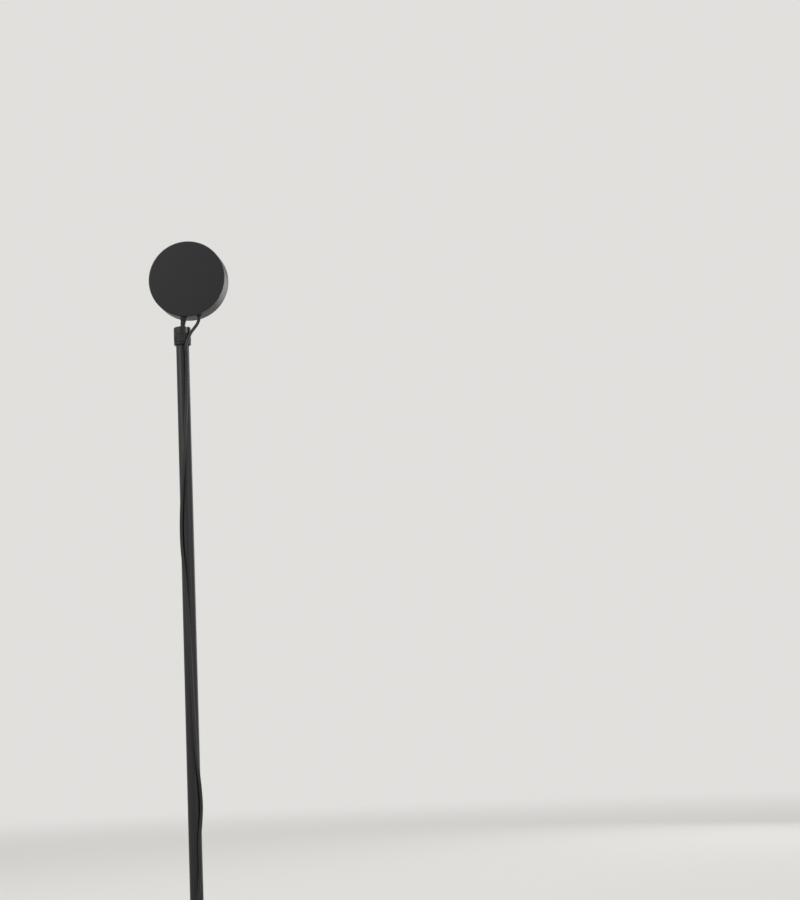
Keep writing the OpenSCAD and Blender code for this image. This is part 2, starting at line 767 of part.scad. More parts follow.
module base_bolt() {
    head_top = pad_h + bolt_bore_h - washer_h;
    color("#8d9094") {
        translate([0, 0, head_top]) cylinder(d = bolt_d, h = base_h - head_top + insert_l - 4);
        translate([0, 0, head_top - bolt_head_h]) hexagon(bolt_head_w, bolt_head_h);
    }
}

module base_washer() {
    color("#9a9da1") translate([0, 0, pad_h + bolt_bore_h - washer_h])
        ring(washer_d, bolt_d + 2 * fit, washer_h);
}

module base_pad() {
    color("#222222") ring(base_d - 10, washer_d + 4, pad_h);
}

// ---------------------------------------------------------------- cord

module cord_jumper() { color("#18181a") tube(jumper_path, cord_r, 8); }
module cord_drop() { color("#18181a") tube(drop_path, cord_r, 8); }
module cord_coil() { color("#18181a") tube(coil_path, cord_r, 6); }
module cord_tail() { color("#18181a") tube(tail_path, cord_r, 8); }
module cord_end() { color("#18181a") tube(end_path, cord_r, 8); }

// ---------------------------------------------------------------- inline switch

corner_r = 5;
split_h = 5;                // height of the seam between the two shells
screw_d = 2;
screw_head_h = 1.2;
screw_recess = 0.2;
screw_x = switch_l / 2 - 5;
board_z = 3;
board_end_room = 8;         // from the switch's ends and sides to its board
board_side_room = 3;
switch_board_l = switch_l - 2 * board_end_room;
switch_board_w = switch_w - 2 * board_side_room;
flange_h = 1.2;
flange_w = 1.2;
button_proud = 1.4;
button_low = switch_h - switch_wall - 0.3 - flange_h;

module at_switch() {
    translate(switch_at) rotate([0, 0, switch_heading]) children();
}

module at_switch_screws() {
    for (side = [-1, 1]) translate([side * screw_x, 0, 0]) children();
}

module switch_bottom() {
    color("#1c1c1e") at_switch() difference() {
        union() {
            difference() {
                slab(switch_l, switch_w, split_h, corner_r);
                translate([0, 0, switch_wall])
                    slab(switch_l - 2 * switch_wall, switch_w - 2 * switch_wall,
                        split_h, corner_r - switch_wall);
            }
            for (x = [-1, 1] * (switch_board_l / 2 - 4)) translate([x, 0, 0]) cylinder(d = 4, h = board_z);
            at_switch_screws() cylinder(d = 4.4, h = split_h);
        }
        at_switch_screws() translate([0, 0, -eps]) cylinder(d = screw_d + 2 * fit, h = split_h + 1);
        at_switch_screws() translate([0, 0, -eps])
            cylinder(d = 2 * screw_d, h = screw_head_h + screw_recess + eps);
    }
}

module switch_top() {
    h = switch_h - split_h;
    color("#1c1c1e") at_switch() translate([0, 0, split_h]) difference() {
        union() {
            difference() {
                slab(switch_l, switch_w, h, corner_r);
                translate([0, 0, -eps])
                    slab(switch_l - 2 * switch_wall, switch_w - 2 * switch_wall,
                        h - switch_wall, corner_r - switch_wall);
            }
            at_switch_screws() cylinder(d = 4.4, h = h);
        }
        cylinder(d = button_d + 2 * button_gap, h = h + 1);
        at_switch_screws() translate([0, 0, -eps]) cylinder(d = screw_d + 2 * fit, h = h - switch_wall);
    }
}

module switch_button() {
    color("#2c2c2f") at_switch() {
        translate([0, 0, button_low]) cylinder(d = button_d, h = switch_h + button_proud - button_low);
        translate([0, 0, button_low]) cylinder(d = button_d + 2 * flange_w, h = flange_h);
    }
}

// Board with its key under the button
module switch_board() {
    key_w = 6;
    key_h = 1.6;
    plunger_h = button_low - button_travel - board_z - driver_h - key_h - 0.2;
    color("#1f5d3a") at_switch() {
        translate([-switch_board_l / 2, -switch_board_w / 2, board_z])
            cube([switch_board_l, switch_board_w, driver_h]);
        translate([-key_w / 2, -key_w / 2, board_z + driver_h]) cube([key_w, key_w, key_h]);
        translate([0, 0, board_z + driver_h + key_h]) cylinder(d = 3.4, h = plunger_h, $fn = 32);
    }
}

// Tapered sleeves at both ends of the switch
module switch_reliefs() {
    color("#161616") at_switch() for (turn = [0, 180])
        rotate([0, 0, turn]) translate([switch_l / 2, 0, entry_h]) rotate([0, 90, 0])
            cylinder(r1 = relief_r, r2 = relief_tip_r, h = switch_relief_l);
}

module switch_screws() {
    color("#b8babd") at_switch() at_switch_screws() {
        translate([0, 0, screw_recess]) cylinder(d = 2 * screw_d - 2 * fit, h = screw_head_h);
        translate([0, 0, screw_recess]) cylinder(d = screw_d, h = switch_h - switch_wall - 2 * screw_recess);
    }
}

// ---------------------------------------------------------------- plug

plug_w = 12;
plug_h = 4.5;
sheet = 0.3;
inside = 2;                 // length of the shell inside the grip

// Frame of the plug: origin under the cord's end, +X towards the plug's mouth
module at_plug() {
    translate(plug_at) rotate([0, 0, plug_heading]) children();
}

module plug_grip() {
    color("#1a1a1c") at_plug() difference() {
        union() {
            translate([plug_relief_l + grip_l / 2, 0, 0]) slab(grip_l, grip_w, grip_h, 2);
            translate([0, 0, entry_h]) rotate([0, 90, 0])
                cylinder(r1 = relief_tip_r, r2 = relief_r, h = plug_relief_l + 1);
        }
        translate([plug_relief_l + grip_l - inside, -plug_w / 2 - fit, entry_h - plug_h / 2 - fit])
            cube([inside + 1, plug_w + 2 * fit, plug_h + 2 * fit]);
    }
}

module plug_shell() {
    l = plug_shell_l + inside;
    color("#c9ccd1") at_plug() translate([plug_relief_l + grip_l - inside, 0, entry_h]) difference() {
        translate([0, -plug_w / 2, -plug_h / 2]) cube([l, plug_w, plug_h]);
        translate([sheet, -plug_w / 2 + sheet, -plug_h / 2 + sheet])
            cube([l, plug_w - 2 * sheet, plug_h - 2 * sheet]);
        for (y = [-3.6, 1.2], z = [-plug_h, 0])
            translate([inside + plug_shell_l / 2, y, z]) cube([2.4, 2.4, plug_h]);
    }
}

tongue_h = 1.8;
tongue_drop = 0.4;          // gap between the shell's roof and the tongue

module plug_tongue() {
    color("#ececea") at_plug()
        translate([plug_relief_l + grip_l - inside + sheet, -plug_w / 2 + 2 * sheet, 0])
            translate([0, 0, entry_h + plug_h / 2 - sheet - tongue_drop - tongue_h])
                cube([plug_shell_l + inside - sheet - 1, plug_w - 4 * sheet, tongue_h]);
}

module plug_contacts() {
    low = entry_h + plug_h / 2 - sheet - tongue_drop - tongue_h;
    color("#d6b25e") at_plug() for (i = [0 : 3])
        translate([plug_relief_l + grip_l + 2, -4 + 2.4 * i - 0.1, low - 0.15]) cube([7.5, 1, 0.15]);
}

// ---------------------------------------------------------------- assembly

head_shell();
front_ring();
projection_lens();
lens_gasket();
filter_disc();
filter_clip();
lens_tube();
reflector();
led_board();
led_chip();
board_screws();
heat_spreader();
driver_board();
inner_lead();
cord_crimp();
cord_grommet();
stem();
stem_nut();
ball();
ball_liner();
spring_washer();
socket();
lock_ring();
pole_collar();
collar_screw();
pole();
tube_insert();
pole_ferrule();
base_cover();
base_weight();
base_bolt();
base_washer();
base_pad();
cord_jumper();
cord_drop();
cord_coil();
cord_tail();
cord_end();
switch_bottom();
switch_top();
switch_button();
switch_board();
switch_reliefs();
switch_screws();
plug_grip();
plug_shell();
plug_tongue();
plug_contacts();
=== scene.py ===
"""Sunset projection lamp: its visible pieces, finishes and studio, built round the packed frame.

Sections and outlines are in millimetres, in the frame of the sub-part they belong to.
Routes of the cord and everything that is placed in the scene are in metres.
"""

import json
import math

import bmesh
import bpy
from mathutils import Matrix, Vector


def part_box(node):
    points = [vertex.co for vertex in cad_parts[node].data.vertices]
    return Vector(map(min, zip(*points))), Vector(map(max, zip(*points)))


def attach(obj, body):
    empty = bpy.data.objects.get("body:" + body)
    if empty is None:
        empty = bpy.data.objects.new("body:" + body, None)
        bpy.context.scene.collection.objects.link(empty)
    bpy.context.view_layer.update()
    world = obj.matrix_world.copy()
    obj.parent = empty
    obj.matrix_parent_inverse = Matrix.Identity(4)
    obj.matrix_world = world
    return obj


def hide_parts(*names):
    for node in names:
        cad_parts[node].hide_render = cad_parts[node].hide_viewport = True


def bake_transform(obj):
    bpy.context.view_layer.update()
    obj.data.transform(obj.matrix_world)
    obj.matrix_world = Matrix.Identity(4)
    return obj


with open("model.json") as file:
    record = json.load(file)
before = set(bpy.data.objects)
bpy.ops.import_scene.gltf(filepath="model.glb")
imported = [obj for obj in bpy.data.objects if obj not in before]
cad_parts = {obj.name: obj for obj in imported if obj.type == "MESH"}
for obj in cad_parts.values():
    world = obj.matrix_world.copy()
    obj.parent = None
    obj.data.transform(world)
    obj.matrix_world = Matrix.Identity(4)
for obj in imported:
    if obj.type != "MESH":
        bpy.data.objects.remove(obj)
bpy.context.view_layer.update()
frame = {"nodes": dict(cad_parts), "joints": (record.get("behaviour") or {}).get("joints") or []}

bl_info = {
    "name": "Sunset Projection Lamp",
    "version": (1, 0, 0),
    "blender": (4, 5, 0),
    "location": "3D View > Sidebar > Sunset Lamp",
    "description": "Builds the visible pieces, finishes and studio of a sunset projection lamp",
    "category": "Add Mesh",
}

MM = 0.001
BALL_CENTRE = Vector(next(j["pos_m"] for j in frame["joints"] if j["name"] == "head_tilt"))


# ---------------------------------------------------------------- settings


def length_setting(name, description, metres):
    """A length that the user can change."""
    return bpy.props.FloatProperty(name=name, description=description, default=metres, unit="LENGTH")


def angle_setting(name, description, degrees):
    """An angle that the user can change."""
    turn = math.radians(degrees)
    return bpy.props.FloatProperty(name=name, description=description, default=turn, subtype="ANGLE")


def colour_setting(name, description, tone):
    """A colour that the user can change."""
    return bpy.props.FloatVectorProperty(
        name=name, description=description, default=tone, subtype="COLOR"
    )


class HeadSizes(bpy.types.PropertyGroup):
    """Sizes of the projector head"""

    diameter: length_setting("Diameter", "Outside of the housing", 0.081)
    depth: length_setting("Depth", "From the rear face to the front", 0.023)
    edge: length_setting("Rear edge", "Rounding of the rear edge", 0.0012)
    dome: length_setting("Rear dome", "Rise of the rear face", 0.0006)
    rise: length_setting("Rise", "From the ball's centre to the head's axis", 0.055)
    stem_back: length_setting("Stem place", "From the rear face to the stem's axis", 0.007)
    lens_diameter: length_setting("Lens diameter", "Outside of the front lens", 0.061)
    lens_rise: length_setting("Lens rise", "Height of the lens's dome", 0.0045)


class JointSizes(bpy.types.PropertyGroup):
    """Sizes of the ball joint"""

    lean: angle_setting("Lean", "Lean of the stem to the right", 7.5)
    ball_diameter: length_setting("Ball", "Diameter of the ball", 0.012)
    stem_diameter: length_setting("Stem", "Diameter of the stem", 0.005)
    socket_diameter: length_setting("Socket", "Outside of socket, ring and collar", 0.0178)
    slit_width: length_setting("Slit width", "Width of the socket's slits", 0.0019)
    slit_turn: angle_setting("Slit turn", "First slit's turn from the back", 44)
    knurls: bpy.props.IntProperty(
        name="Knurls", description="Number of ribs round the lock ring", default=32, min=8, max=80
    )


class StandSizes(bpy.types.PropertyGroup):
    """Sizes of the pole and the base"""

    pole_diameter: length_setting("Pole", "Outside of the pole", 0.0135)
    base_diameter: length_setting("Base diameter", "Outside of the base", 0.180)
    base_height: length_setting("Base height", "Top of the base", 0.015)
    base_edge: length_setting("Base edge", "Rounding of the base's top edge", 0.004)
    foot_ring_diameter: length_setting("Foot ring", "Ring round the pole's foot", 0.022)


class CordSizes(bpy.types.PropertyGroup):
    """Sizes of the cord, its switch and its plug"""

    diameter: length_setting("Cord", "Diameter of the cord", 0.0033)
    sides: bpy.props.IntProperty(
        name="Sides", description="Faces round the cord", default=14, min=6, max=32
    )
    turns: bpy.props.FloatProperty(
        name="Turns", description="Turns of the coil", default=7.5, min=2.0, max=12.0
    )
    switch_length: length_setting("Switch length", "Length of the inline switch", 0.048)
    switch_width: length_setting("Switch width", "Width of the inline switch", 0.020)
    switch_height: length_setting("Switch height", "Height of the inline switch", 0.011)
    button_diameter: length_setting("Button", "Diameter of the switch's button", 0.010)
    grip_length: length_setting("Grip length", "Length of the plug's grip", 0.026)
    grip_width: length_setting("Grip width", "Width of the plug's grip", 0.016)
    grip_height: length_setting("Grip height", "Height of the plug's grip", 0.0084)


class LampColours(bpy.types.PropertyGroup):
    """Colours of the finishes"""

    coat: colour_setting("Coat", "Black powder coat", (0.011, 0.0105, 0.0115))
    ring: colour_setting("Lock ring", "Black oxide", (0.009, 0.009, 0.010))
    cord: colour_setting("Cord", "Black cord", (0.010, 0.010, 0.011))
    moulding: colour_setting("Moulding", "Switch and plug", (0.014, 0.014, 0.015))
    sunset_middle: colour_setting("Sunset middle", "Filter at its middle", (1.0, 0.36, 0.05))
    sunset_rim: colour_setting("Sunset rim", "Filter at its rim", (0.85, 0.02, 0.03))
    floor: colour_setting("Floor", "Floor and backdrop", (0.80, 0.79, 0.77))


GROUPS = {
    "lamp_head": HeadSizes,
    "lamp_joint": JointSizes,
    "lamp_stand": StandSizes,
    "lamp_cord": CordSizes,
    "lamp_colours": LampColours,
}


class InMillimetres:
    """Reads a group of sizes in millimetres."""

    def __init__(self, group):
        self.group = group

    def __getattr__(self, size):
        return getattr(self.group, size) / MM


def head_mm():
    return InMillimetres(bpy.context.scene.lamp_head)


def joint_mm():
    return InMillimetres(bpy.context.scene.lamp_joint)


def stand_mm():
    return InMillimetres(bpy.context.scene.lamp_stand)


def cord_mm():
    return InMillimetres(bpy.context.scene.lamp_cord)


# ---------------------------------------------------------------- frames of the sub-parts


def ball_frame():
    """Origin in the ball's centre, +Z up the leaning stem."""
    return Matrix.Translation(BALL_CENTRE) @ Matrix.Rotation(bpy.context.scene.lamp_joint.lean, 4, "Y")


def head_frame():
    """Origin where the stem's axis meets the head's axis."""
    return ball_frame() @ Matrix.Translation((0, 0, bpy.context.scene.lamp_head.rise))


def beam_frame():
    """Origin in the middle of the rear face, +Z along the beam."""
    back = Matrix.Translation((0, 0, -bpy.context.scene.lamp_head.stem_back))
    return head_frame() @ Matrix.Rotation(math.radians(-90), 4, "X") @ back


def socket_frame():
    """Origin in the ball's centre, +Z up the pole."""
    return Matrix.Translation(BALL_CENTRE)


def table_frame(x, y, heading):
    """Origin on the table, +X towards the heading in degrees."""
    return Matrix.Translation((x, y, 0)) @ Matrix.Rotation(math.radians(heading), 4, "Z")


# Places on the table: x and y in metres, and the heading in degrees
SWITCH_PLACE = (0.105, -0.002, 90)
PLUG_PLACE = (0.137, 0.018, -90)

# Sizes that several pieces share, in millimetres
ENTRY_HEIGHT = 4.2  # the cord's middle at the switch and the plug
SWITCH_SLEEVE = 12  # length of a sleeve at the switch
PLUG_SLEEVE = 14  # length of the plug's sleeve
CORD_OFFSET = 16.5  # from the stem's axis to the cord's hole
GROMMET_PROUD = 1.2  # how far the grommet stands out of the head
BOSS_LENGTH = 4  # how far the boss stands out of the head
LIP = 2  # height of the bezel's lip


# ---------------------------------------------------------------- meshes


def skin(name, rings, stations, joined=False, capped=False, place=Matrix()):
    """A closed mesh over a row of rings. Its UV map runs round the rings and along the row."""
    sides, count = len(rings[0]), len(rings)
    work = bmesh.new()
    rows = [[work.verts.new(place @ Vector(point)) for point in ring] for ring in rings]
    uv = work.loops.layers.uv.new("along")
    for i in range(count if joined else count - 1):
        for k in range(sides):
            corners = ((i, k), (i, k + 1), (i + 1, k + 1), (i + 1, k))
            face = work.faces.new([rows[a % count][b % sides] for a, b in corners])
            for loop, (a, b) in zip(face.loops, corners):
                loop[uv].uv = (b / sides, stations[a])
    if capped:
        work.faces.new(rows[0][::-1])
        work.faces.new(rows[-1])
    bmesh.ops.remove_doubles(work, verts=work.verts, dist=1e-7)
    bmesh.ops.recalc_face_normals(work, faces=work.faces)
    mesh = bpy.data.meshes.new(name)
    work.to_mesh(mesh)
    work.free()
    made = bpy.data.objects.new(name, mesh)
    bpy.context.scene.collection.objects.link(made)
    return made


def distances(points):
    """How far along the row of points each one lies."""
    run = [0.0]
    for before, after in zip(points, points[1:]):
        run.append(run[-1] + (Vector(after) - Vector(before)).length)
    return run


def arc(centre, radius, start, end, steps=8):
    """Points of an arc in a half section, between two angles in degrees."""
    turns = [math.radians(start + (end - start) * k / steps) for k in range(steps + 1)]
    return [(centre[0] + radius * math.cos(a), centre[1] + radius * math.sin(a)) for a in turns]


def eased(corners, steps=5):
    """The line through corners (r, z, rounding), with an arc at each corner that has a rounding."""
    line = []
    for i, (r, z, rounding) in enumerate(corners):
        here = Vector((r, z))
        if not rounding:
            line.append(tuple(here))
            continue
        before = (Vector(corners[i - 1][:2]) - here).normalized()
        after = (Vector(corners[(i + 1) % len(corners)][:2]) - here).normalized()
        half = before.angle(after) / 2
        centre = here + (before + after).normalized() * rounding / math.sin(half)
        first, last = (here + way * rounding / math.tan(half) - centre for way in (before, after))
        turn = math.atan2(first.y, first.x)
        sweep = (math.atan2(last.y, last.x) - turn + math.pi) % (2 * math.pi) - math.pi
        line += arc(centre, rounding, math.degrees(turn), math.degrees(turn + sweep), steps)
    return line


def lathe(name, section, place=Matrix(), segments=96):
    """A solid turned from a closed half section of (r, z) in millimetres."""
    turns = [math.tau * k / segments for k in range(segments)]
    rings = [[(r * MM * math.cos(a), r * MM * math.sin(a), z * MM) for a in turns] for r, z in section]
    stations = distances([(r * MM, z * MM) for r, z in [*section, section[0]]])
    return skin(name, rings, stations, joined=True, place=place)


def rounded_outline(length, width, corner, steps=6):
    """Points round a rectangle with round corners, in millimetres."""
    points = []
    for x, y, start in ((1, 1, 0), (-1, 1, 90), (-1, -1, 180), (1, -1, 270)):
        centre = (x * (length / 2 - corner), y * (width / 2 - corner))
        points += arc(centre, corner, start, start + 90, steps)
    return points


def loft(name, levels, length, width, corner, place=Matrix(), along_x=False):
    """A solid over a rounded rectangle that is drawn in by (height, inset) levels, in millimetres."""
    rings = []
    for height, inset in levels:
        outline = rounded_outline(length - 2 * inset, width - 2 * inset, max(corner - inset, 0.2))
        if along_x:
            rings.append([(height * MM, x * MM, y * MM) for x, y in outline])
        else:
            rings.append([(x * MM, y * MM, height * MM) for x, y in outline])
    return skin(name, rings, [height * MM for height, _ in levels], capped=True, place=place)


def tube(name, path, radius, sides):
    """A round tube of that radius along a path, in metres."""
    last = len(path) - 1
    ways = [(path[min(i + 1, last)] - path[max(i - 1, 0)]).normalized() for i in range(last + 1)]
    side = Vector((0.3, 1, 0.2))
    rings = []
    for point, way in zip(path, ways):
        side = (side - side.dot(way) * way).normalized()
        up = way.cross(side)
        turns = [math.tau * k / sides for k in range(sides)]
        rings.append([point + radius * (math.cos(a) * side + math.sin(a) * up) for a in turns])
    return skin(name, rings, distances(path), capped=True)


def baked(piece):
    """The piece with its modifiers made part of its mesh."""
    bpy.context.view_layer.update()
    depsgraph = bpy.context.evaluated_depsgraph_get()
    mesh = bpy.data.meshes.new_from_object(
        piece.evaluated_get(depsgraph), preserve_all_data_layers=True, depsgraph=depsgraph
    )
    before = piece.data
    piece.modifiers.clear()
    piece.data = mesh
    bpy.data.meshes.remove(before)
    return piece


def cut(piece, *tools):
    """The piece without what its tools cover. The tools are used up."""
    for tool in tools:
        modifier = piece.modifiers.new("cut", "BOOLEAN")
        modifier.operation = "DIFFERENCE"
        modifier.solver = "EXACT"
        modifier.object = tool
    baked(piece)
    for tool in tools:
        bpy.data.objects.remove(tool)
    return piece


def softened(piece, width):
    """The piece with its sharp edges bevelled to a width in millimetres."""
    modifier = piece.modifiers.new("soft edges", "BEVEL")
    modifier.width = width * MM
    modifier.segments = 2
    modifier.limit_method = "ANGLE"
    modifier.angle_limit = math.radians(40)
    return baked(piece)


def box_tool(name, low, high, place=Matrix()):
    """A block between two corners in millimetres."""
    ring = [(low[0], low[1]), (high[0], low[1]), (high[0], high[1]), (low[0], high[1])]
    rings = [[(x * MM, y * MM, z * MM) for x, y in ring] for z in (low[2], high[2])]
    return skin(name, rings, [0, 1], capped=True, place=place)


def finished(piece, material, body=None, replaces=(), smooth=35):
    """Gives a piece its finish and shading and the body that it rides on, and hides the nodes that it
    stands for.
    """
    piece.data.materials.clear()
    piece.data.materials.append(material)
    piece.data.shade_smooth()
    piece.data.set_sharp_from_angle(angle=math.radians(smooth))
    if body:
        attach(piece, body)
    if replaces:
        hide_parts(*replaces)
    return piece


# ---------------------------------------------------------------- node sheets


def picked(sockets, key):
    """The socket with that name or number, or the first one that is in use."""
    if isinstance(key, int):
        return sockets[key]
    return next(s for s in sockets if s.enabled and key in (None, s.name))


class Term:
    """A node's output in an expression: the operators add Math nodes."""

    def __init__(self, sheet, socket):
        self.sheet = sheet
        self.socket = socket

    def math(self, operation, *values):
        return self.sheet.add("ShaderNodeMath", {"operation": operation}, dict(enumerate(values)))

    def __add__(self, other):
        return self.math("ADD", self, other)

    def __sub__(self, other):
        return self.math("SUBTRACT", self, other)

    def __rsub__(self, other):
        return self.math("SUBTRACT", other, self)

    def __mul__(self, other):
        return self.math("MULTIPLY", self, other)

    def __truediv__(self, other):
        return self.math("DIVIDE", self, other)

    __radd__ = __add__
    __rmul__ = __mul__


class Sheet:
    """A node tree, and the one method that puts a node into it."""

    def __init__(self, tree):
        self.tree = tree

    def add(self, kind, settings=None, inputs=None, output=None):
        """Makes a node: its settings first, then values or links into its sockets. Gives an output."""
        node = self.tree.nodes.new(kind)
        for key, value in (settings or {}).items():
            if key == "stops":
                ramp = node.color_ramp
                while len(ramp.elements) < len(value):
                    ramp.elements.new(1.0)
                for element, (position, colour) in zip(ramp.elements, value):
                    element.position = position
                    element.color = (*colour, 1.0)
            else:
                setattr(node, key, value)
        for key, value in (inputs or {}).items():
            socket = picked(node.inputs, key)
            if isinstance(value, Term):
                self.tree.links.new(value.socket, socket)
            elif socket.type == "RGBA":
                socket.default_value = (*value, 1.0)
            else:
                socket.default_value = value
        return Term(self, picked(node.outputs, output)) if node.outputs else None


class Finish(Sheet):
    """A material behind one Principled shader, with the patterns that its finish is mixed from."""

    def __init__(self, name):
        self.material = bpy.data.materials.new(name)
        self.material.use_nodes = True
        super().__init__(self.material.node_tree)
        self.tree.nodes.clear()
        self.colours = bpy.context.scene.lamp_colours

    def place(self, matrix=Matrix(), stretch=(1, 1, 1)):
        """Object coordinates in a sub-part's frame, in metres, divided by stretch."""
        point = self.add("ShaderNodeTexCoord", output="Object")
        inputs = {
            "Vector": point,
            "Location": matrix.translation,
            "Rotation": matrix.to_euler("XYZ"),
            "Scale": stretch,
        }
        return self.add("ShaderNodeMapping", {"vector_type": "TEXTURE"}, inputs)

    def along(self, stretch=(1, 1, 1)):
        """The piece's own UV map: round it from 0 to 1, and along it in metres, divided by stretch."""
        point = self.add("ShaderNodeUVMap", {"uv_map": "along"})
        inputs = {"Vector": point, "Scale": stretch}
        return self.add("ShaderNodeMapping", {"vector_type": "TEXTURE"}, inputs)

    def part(self, vector, axis):
        """One of the vector's three parts."""
        return self.add("ShaderNodeSeparateXYZ", None, {"Vector": vector}, output=axis)

    def off_axis(self, vector):
        """Distance from the frame's Z axis."""
        flat = self.add(
            "ShaderNodeVectorMath", {"operation": "MULTIPLY"}, {0: vector, 1: (1.0, 1.0, 0.0)}, "Vector"
        )
        return self.add("ShaderNodeVectorMath", {"operation": "LENGTH"}, {0: flat}, "Value")

    def noise(self, vector, size, detail=3.0, roughness=0.55, offset=0.0):
        """Soft noise from 0 to 1 with spots of that size in metres."""
        inputs = {"Vector": vector, "Scale": 1 / size, "Detail": detail, "Roughness": roughness}
        if offset:
            shift = {0: vector, 1: (offset, offset, offset)}
            inputs["Vector"] = self.add("ShaderNodeVectorMath", {"operation": "ADD"}, shift)
        return self.add("ShaderNodeTexNoise", None, inputs)

    def lines(self, value, size, detail):
        """Noise that changes only with the value, in lines of that width in metres."""
        inputs = {"W": value, "Scale": 1 / size, "Detail": detail}
        return self.add("ShaderNodeTexNoise", {"noise_dimensions": "1D"}, inputs)

    def cells(self, vector, size, feature="F1"):
        """Distances in a pattern of cells of that size in metres."""
        inputs = {"Vector": vector, "Scale": 1 / size}
        return self.add("ShaderNodeTexVoronoi", {"feature": feature}, inputs, "Distance")

    def step(self, value, low, high):
        """Runs softly from 0 to 1 while the value goes from low to high."""
        inputs = {"Value": value, "From Min": low, "From Max": high}
        return self.add("ShaderNodeMapRange", {"interpolation_type": "SMOOTHSTEP"}, inputs)

    def mix(self, mask, first, second):
        """The first colour where the mask is 0, the second where it is 1."""
        inputs = {"Factor": mask, "A": first, "B": second}
        return self.add("ShaderNodeMix", {"data_type": "RGBA"}, inputs)

    def bump(self, height, depth, strength=1.0, under=None):
        """A normal raised by height times depth in metres, over another one if it is given."""
        inputs = {"Height": height, "Distance": depth, "Strength": strength}
        if under:
            inputs["Normal"] = under
        return self.add("ShaderNodeBump", None, inputs)

    def bare_metal(self, tone, gloss, marks, depth, strength=0.5):
        """Gives a bare metal with fine marks of that depth in metres."""
        normal = self.bump(marks, depth, strength)
        return self.done(Base_Color=tone, Metallic=1.0, Roughness=gloss, Normal=normal)

    def done(self, **inputs):
        """Feeds the shader and gives the material. An underscore in a name stands for a space."""
        named = {key.replace("_", " "): value for key, value in inputs.items()}
        shader = self.add("ShaderNodeBsdfPrincipled", None, named)
        self.add("ShaderNodeOutputMaterial", None, {"Surface": shader})
        return self.material


def shade(colour, factor):
    """The colour made that many times as bright."""
    return tuple(min(1.0, part * factor) for part in colour)


def once(make):
    """Makes a finish when it is first used, and gives the same material after that."""
    name = f"{make.__name__}_finish"

    def ready():
        return bpy.data.materials.get(name) or make(Finish(name))

    return ready


# ---------------------------------------------------------------- finishes


@once
def satin_coat(coat):
    """Head, pole, socket and collar: baked powder with orange peel and slow changes of gloss"""
    point = coat.place()
    cloud = coat.noise(point, 0.035, detail=4.0)
    grain = coat.noise(point, 0.0004, detail=2.0)
    peel = coat.noise(point, 0.0011, detail=2.0, roughness=0.4)
    dust = coat.step(coat.noise(point, 0.0016, detail=1.0, offset=3.1), 0.74, 0.80)
    colour = coat.colours.coat
    tone = coat.mix(cloud, shade(colour, 0.82), shade(colour, 1.25))
    tone = coat.mix(dust * 0.25, tone, shade(colour, 3.2))
    gloss = 0.44 + 0.10 * (cloud - 0.5) + 0.09 * (grain - 0.5) + 0.12 * dust
    normal = coat.bump(peel, 0.00005, 0.7, under=coat.bump(grain, 0.000012, 0.6))
    return coat.done(
        Base_Color=tone, Roughness=gloss, Normal=normal, Specular_IOR_Level=0.36, IOR=1.5
    )


@once
def textured_coat(coat):
    """Base: a drier, sandy coat"""
    point = coat.place()
    sand = coat.cells(point, 0.0009)
    grain = coat.noise(point, 0.00035, detail=3.0)
    cloud = coat.noise(point, 0.045, detail=4.0)
    rub = coat.step(coat.noise(point, 0.012, detail=5.0, offset=1.7), 0.60, 0.78)
    colour = coat.colours.coat
    tone = coat.mix(cloud, shade(colour, 0.9), shade(colour, 1.35))
    tone = coat.mix(sand * 0.5, tone, shade(colour, 1.9))
    gloss = 0.60 + 0.14 * (grain - 0.5) - 0.10 * rub + 0.06 * (cloud - 0.5)
    normal = coat.bump(sand, 0.00006, 0.8, under=coat.bump(grain, 0.00003, 0.7))
    return coat.done(Base_Color=tone, Roughness=gloss, Normal=normal, Specular_IOR_Level=0.4)


@once
def turned_steel(steel):
    """Stem: blackened rod with fine turning marks"""
    point = steel.place(ball_frame())
    height = steel.part(point, "Z")
    marks = steel.lines(height, 0.00018, 3.0)
    smear = steel.noise(point, 0.003, detail=4.0)
    colour = steel.colours.ring
    tone = steel.mix(smear, shade(colour, 0.8), shade(colour, 1.6))
    gloss = 0.40 + 0.14 * (smear - 0.5) + 0.08 * (marks - 0.5)
    return steel.done(
        Base_Color=tone, Metallic=0.2, Roughness=gloss, Normal=steel.bump(marks, 0.00002, 0.5)
    )


@once
def milled_steel(steel):
    """Walls of the socket's slits: bare metal with fine cutter marks"""
    point = steel.place(socket_frame())
    marks = steel.noise(steel.place(socket_frame(), stretch=(1, 1, 8)), 0.0002, detail=3.0)
    cloud = steel.noise(point, 0.002, detail=3.0)
    tone = steel.mix(cloud, (0.46, 0.46, 0.47), (0.62, 0.61, 0.60))
    gloss = 0.34 + 0.12 * (marks - 0.5) + 0.08 * (cloud - 0.5)
    return steel.bare_metal(tone, gloss, marks, 0.00001)


@once
def worn_oxide(oxide):
    """Lock ring: black oxide that is rubbed to steel on the tips of its ribs"""
    point = oxide.place(socket_frame())
    outer = bpy.context.scene.lamp_joint.socket_diameter / 2
    tips = oxide.step(oxide.off_axis(point), outer - 0.00022, outer + 0.00002)
    patches = oxide.step(oxide.noise(point, 0.0022, detail=5.0), 0.42, 0.66)
    fine = oxide.noise(point, 0.00025, detail=2.0)
    wear = tips * patches * 0.4
    tone = oxide.mix(wear, oxide.colours.ring, (0.16, 0.155, 0.15))
    gloss = 0.40 - 0.12 * wear + 0.12 * (fine - 0.5)
    return oxide.done(
        Base_Color=tone,
        Metallic=0.35 + 0.6 * wear,
        Roughness=gloss,
        Normal=oxide.bump(fine, 0.00002, 0.6),
    )


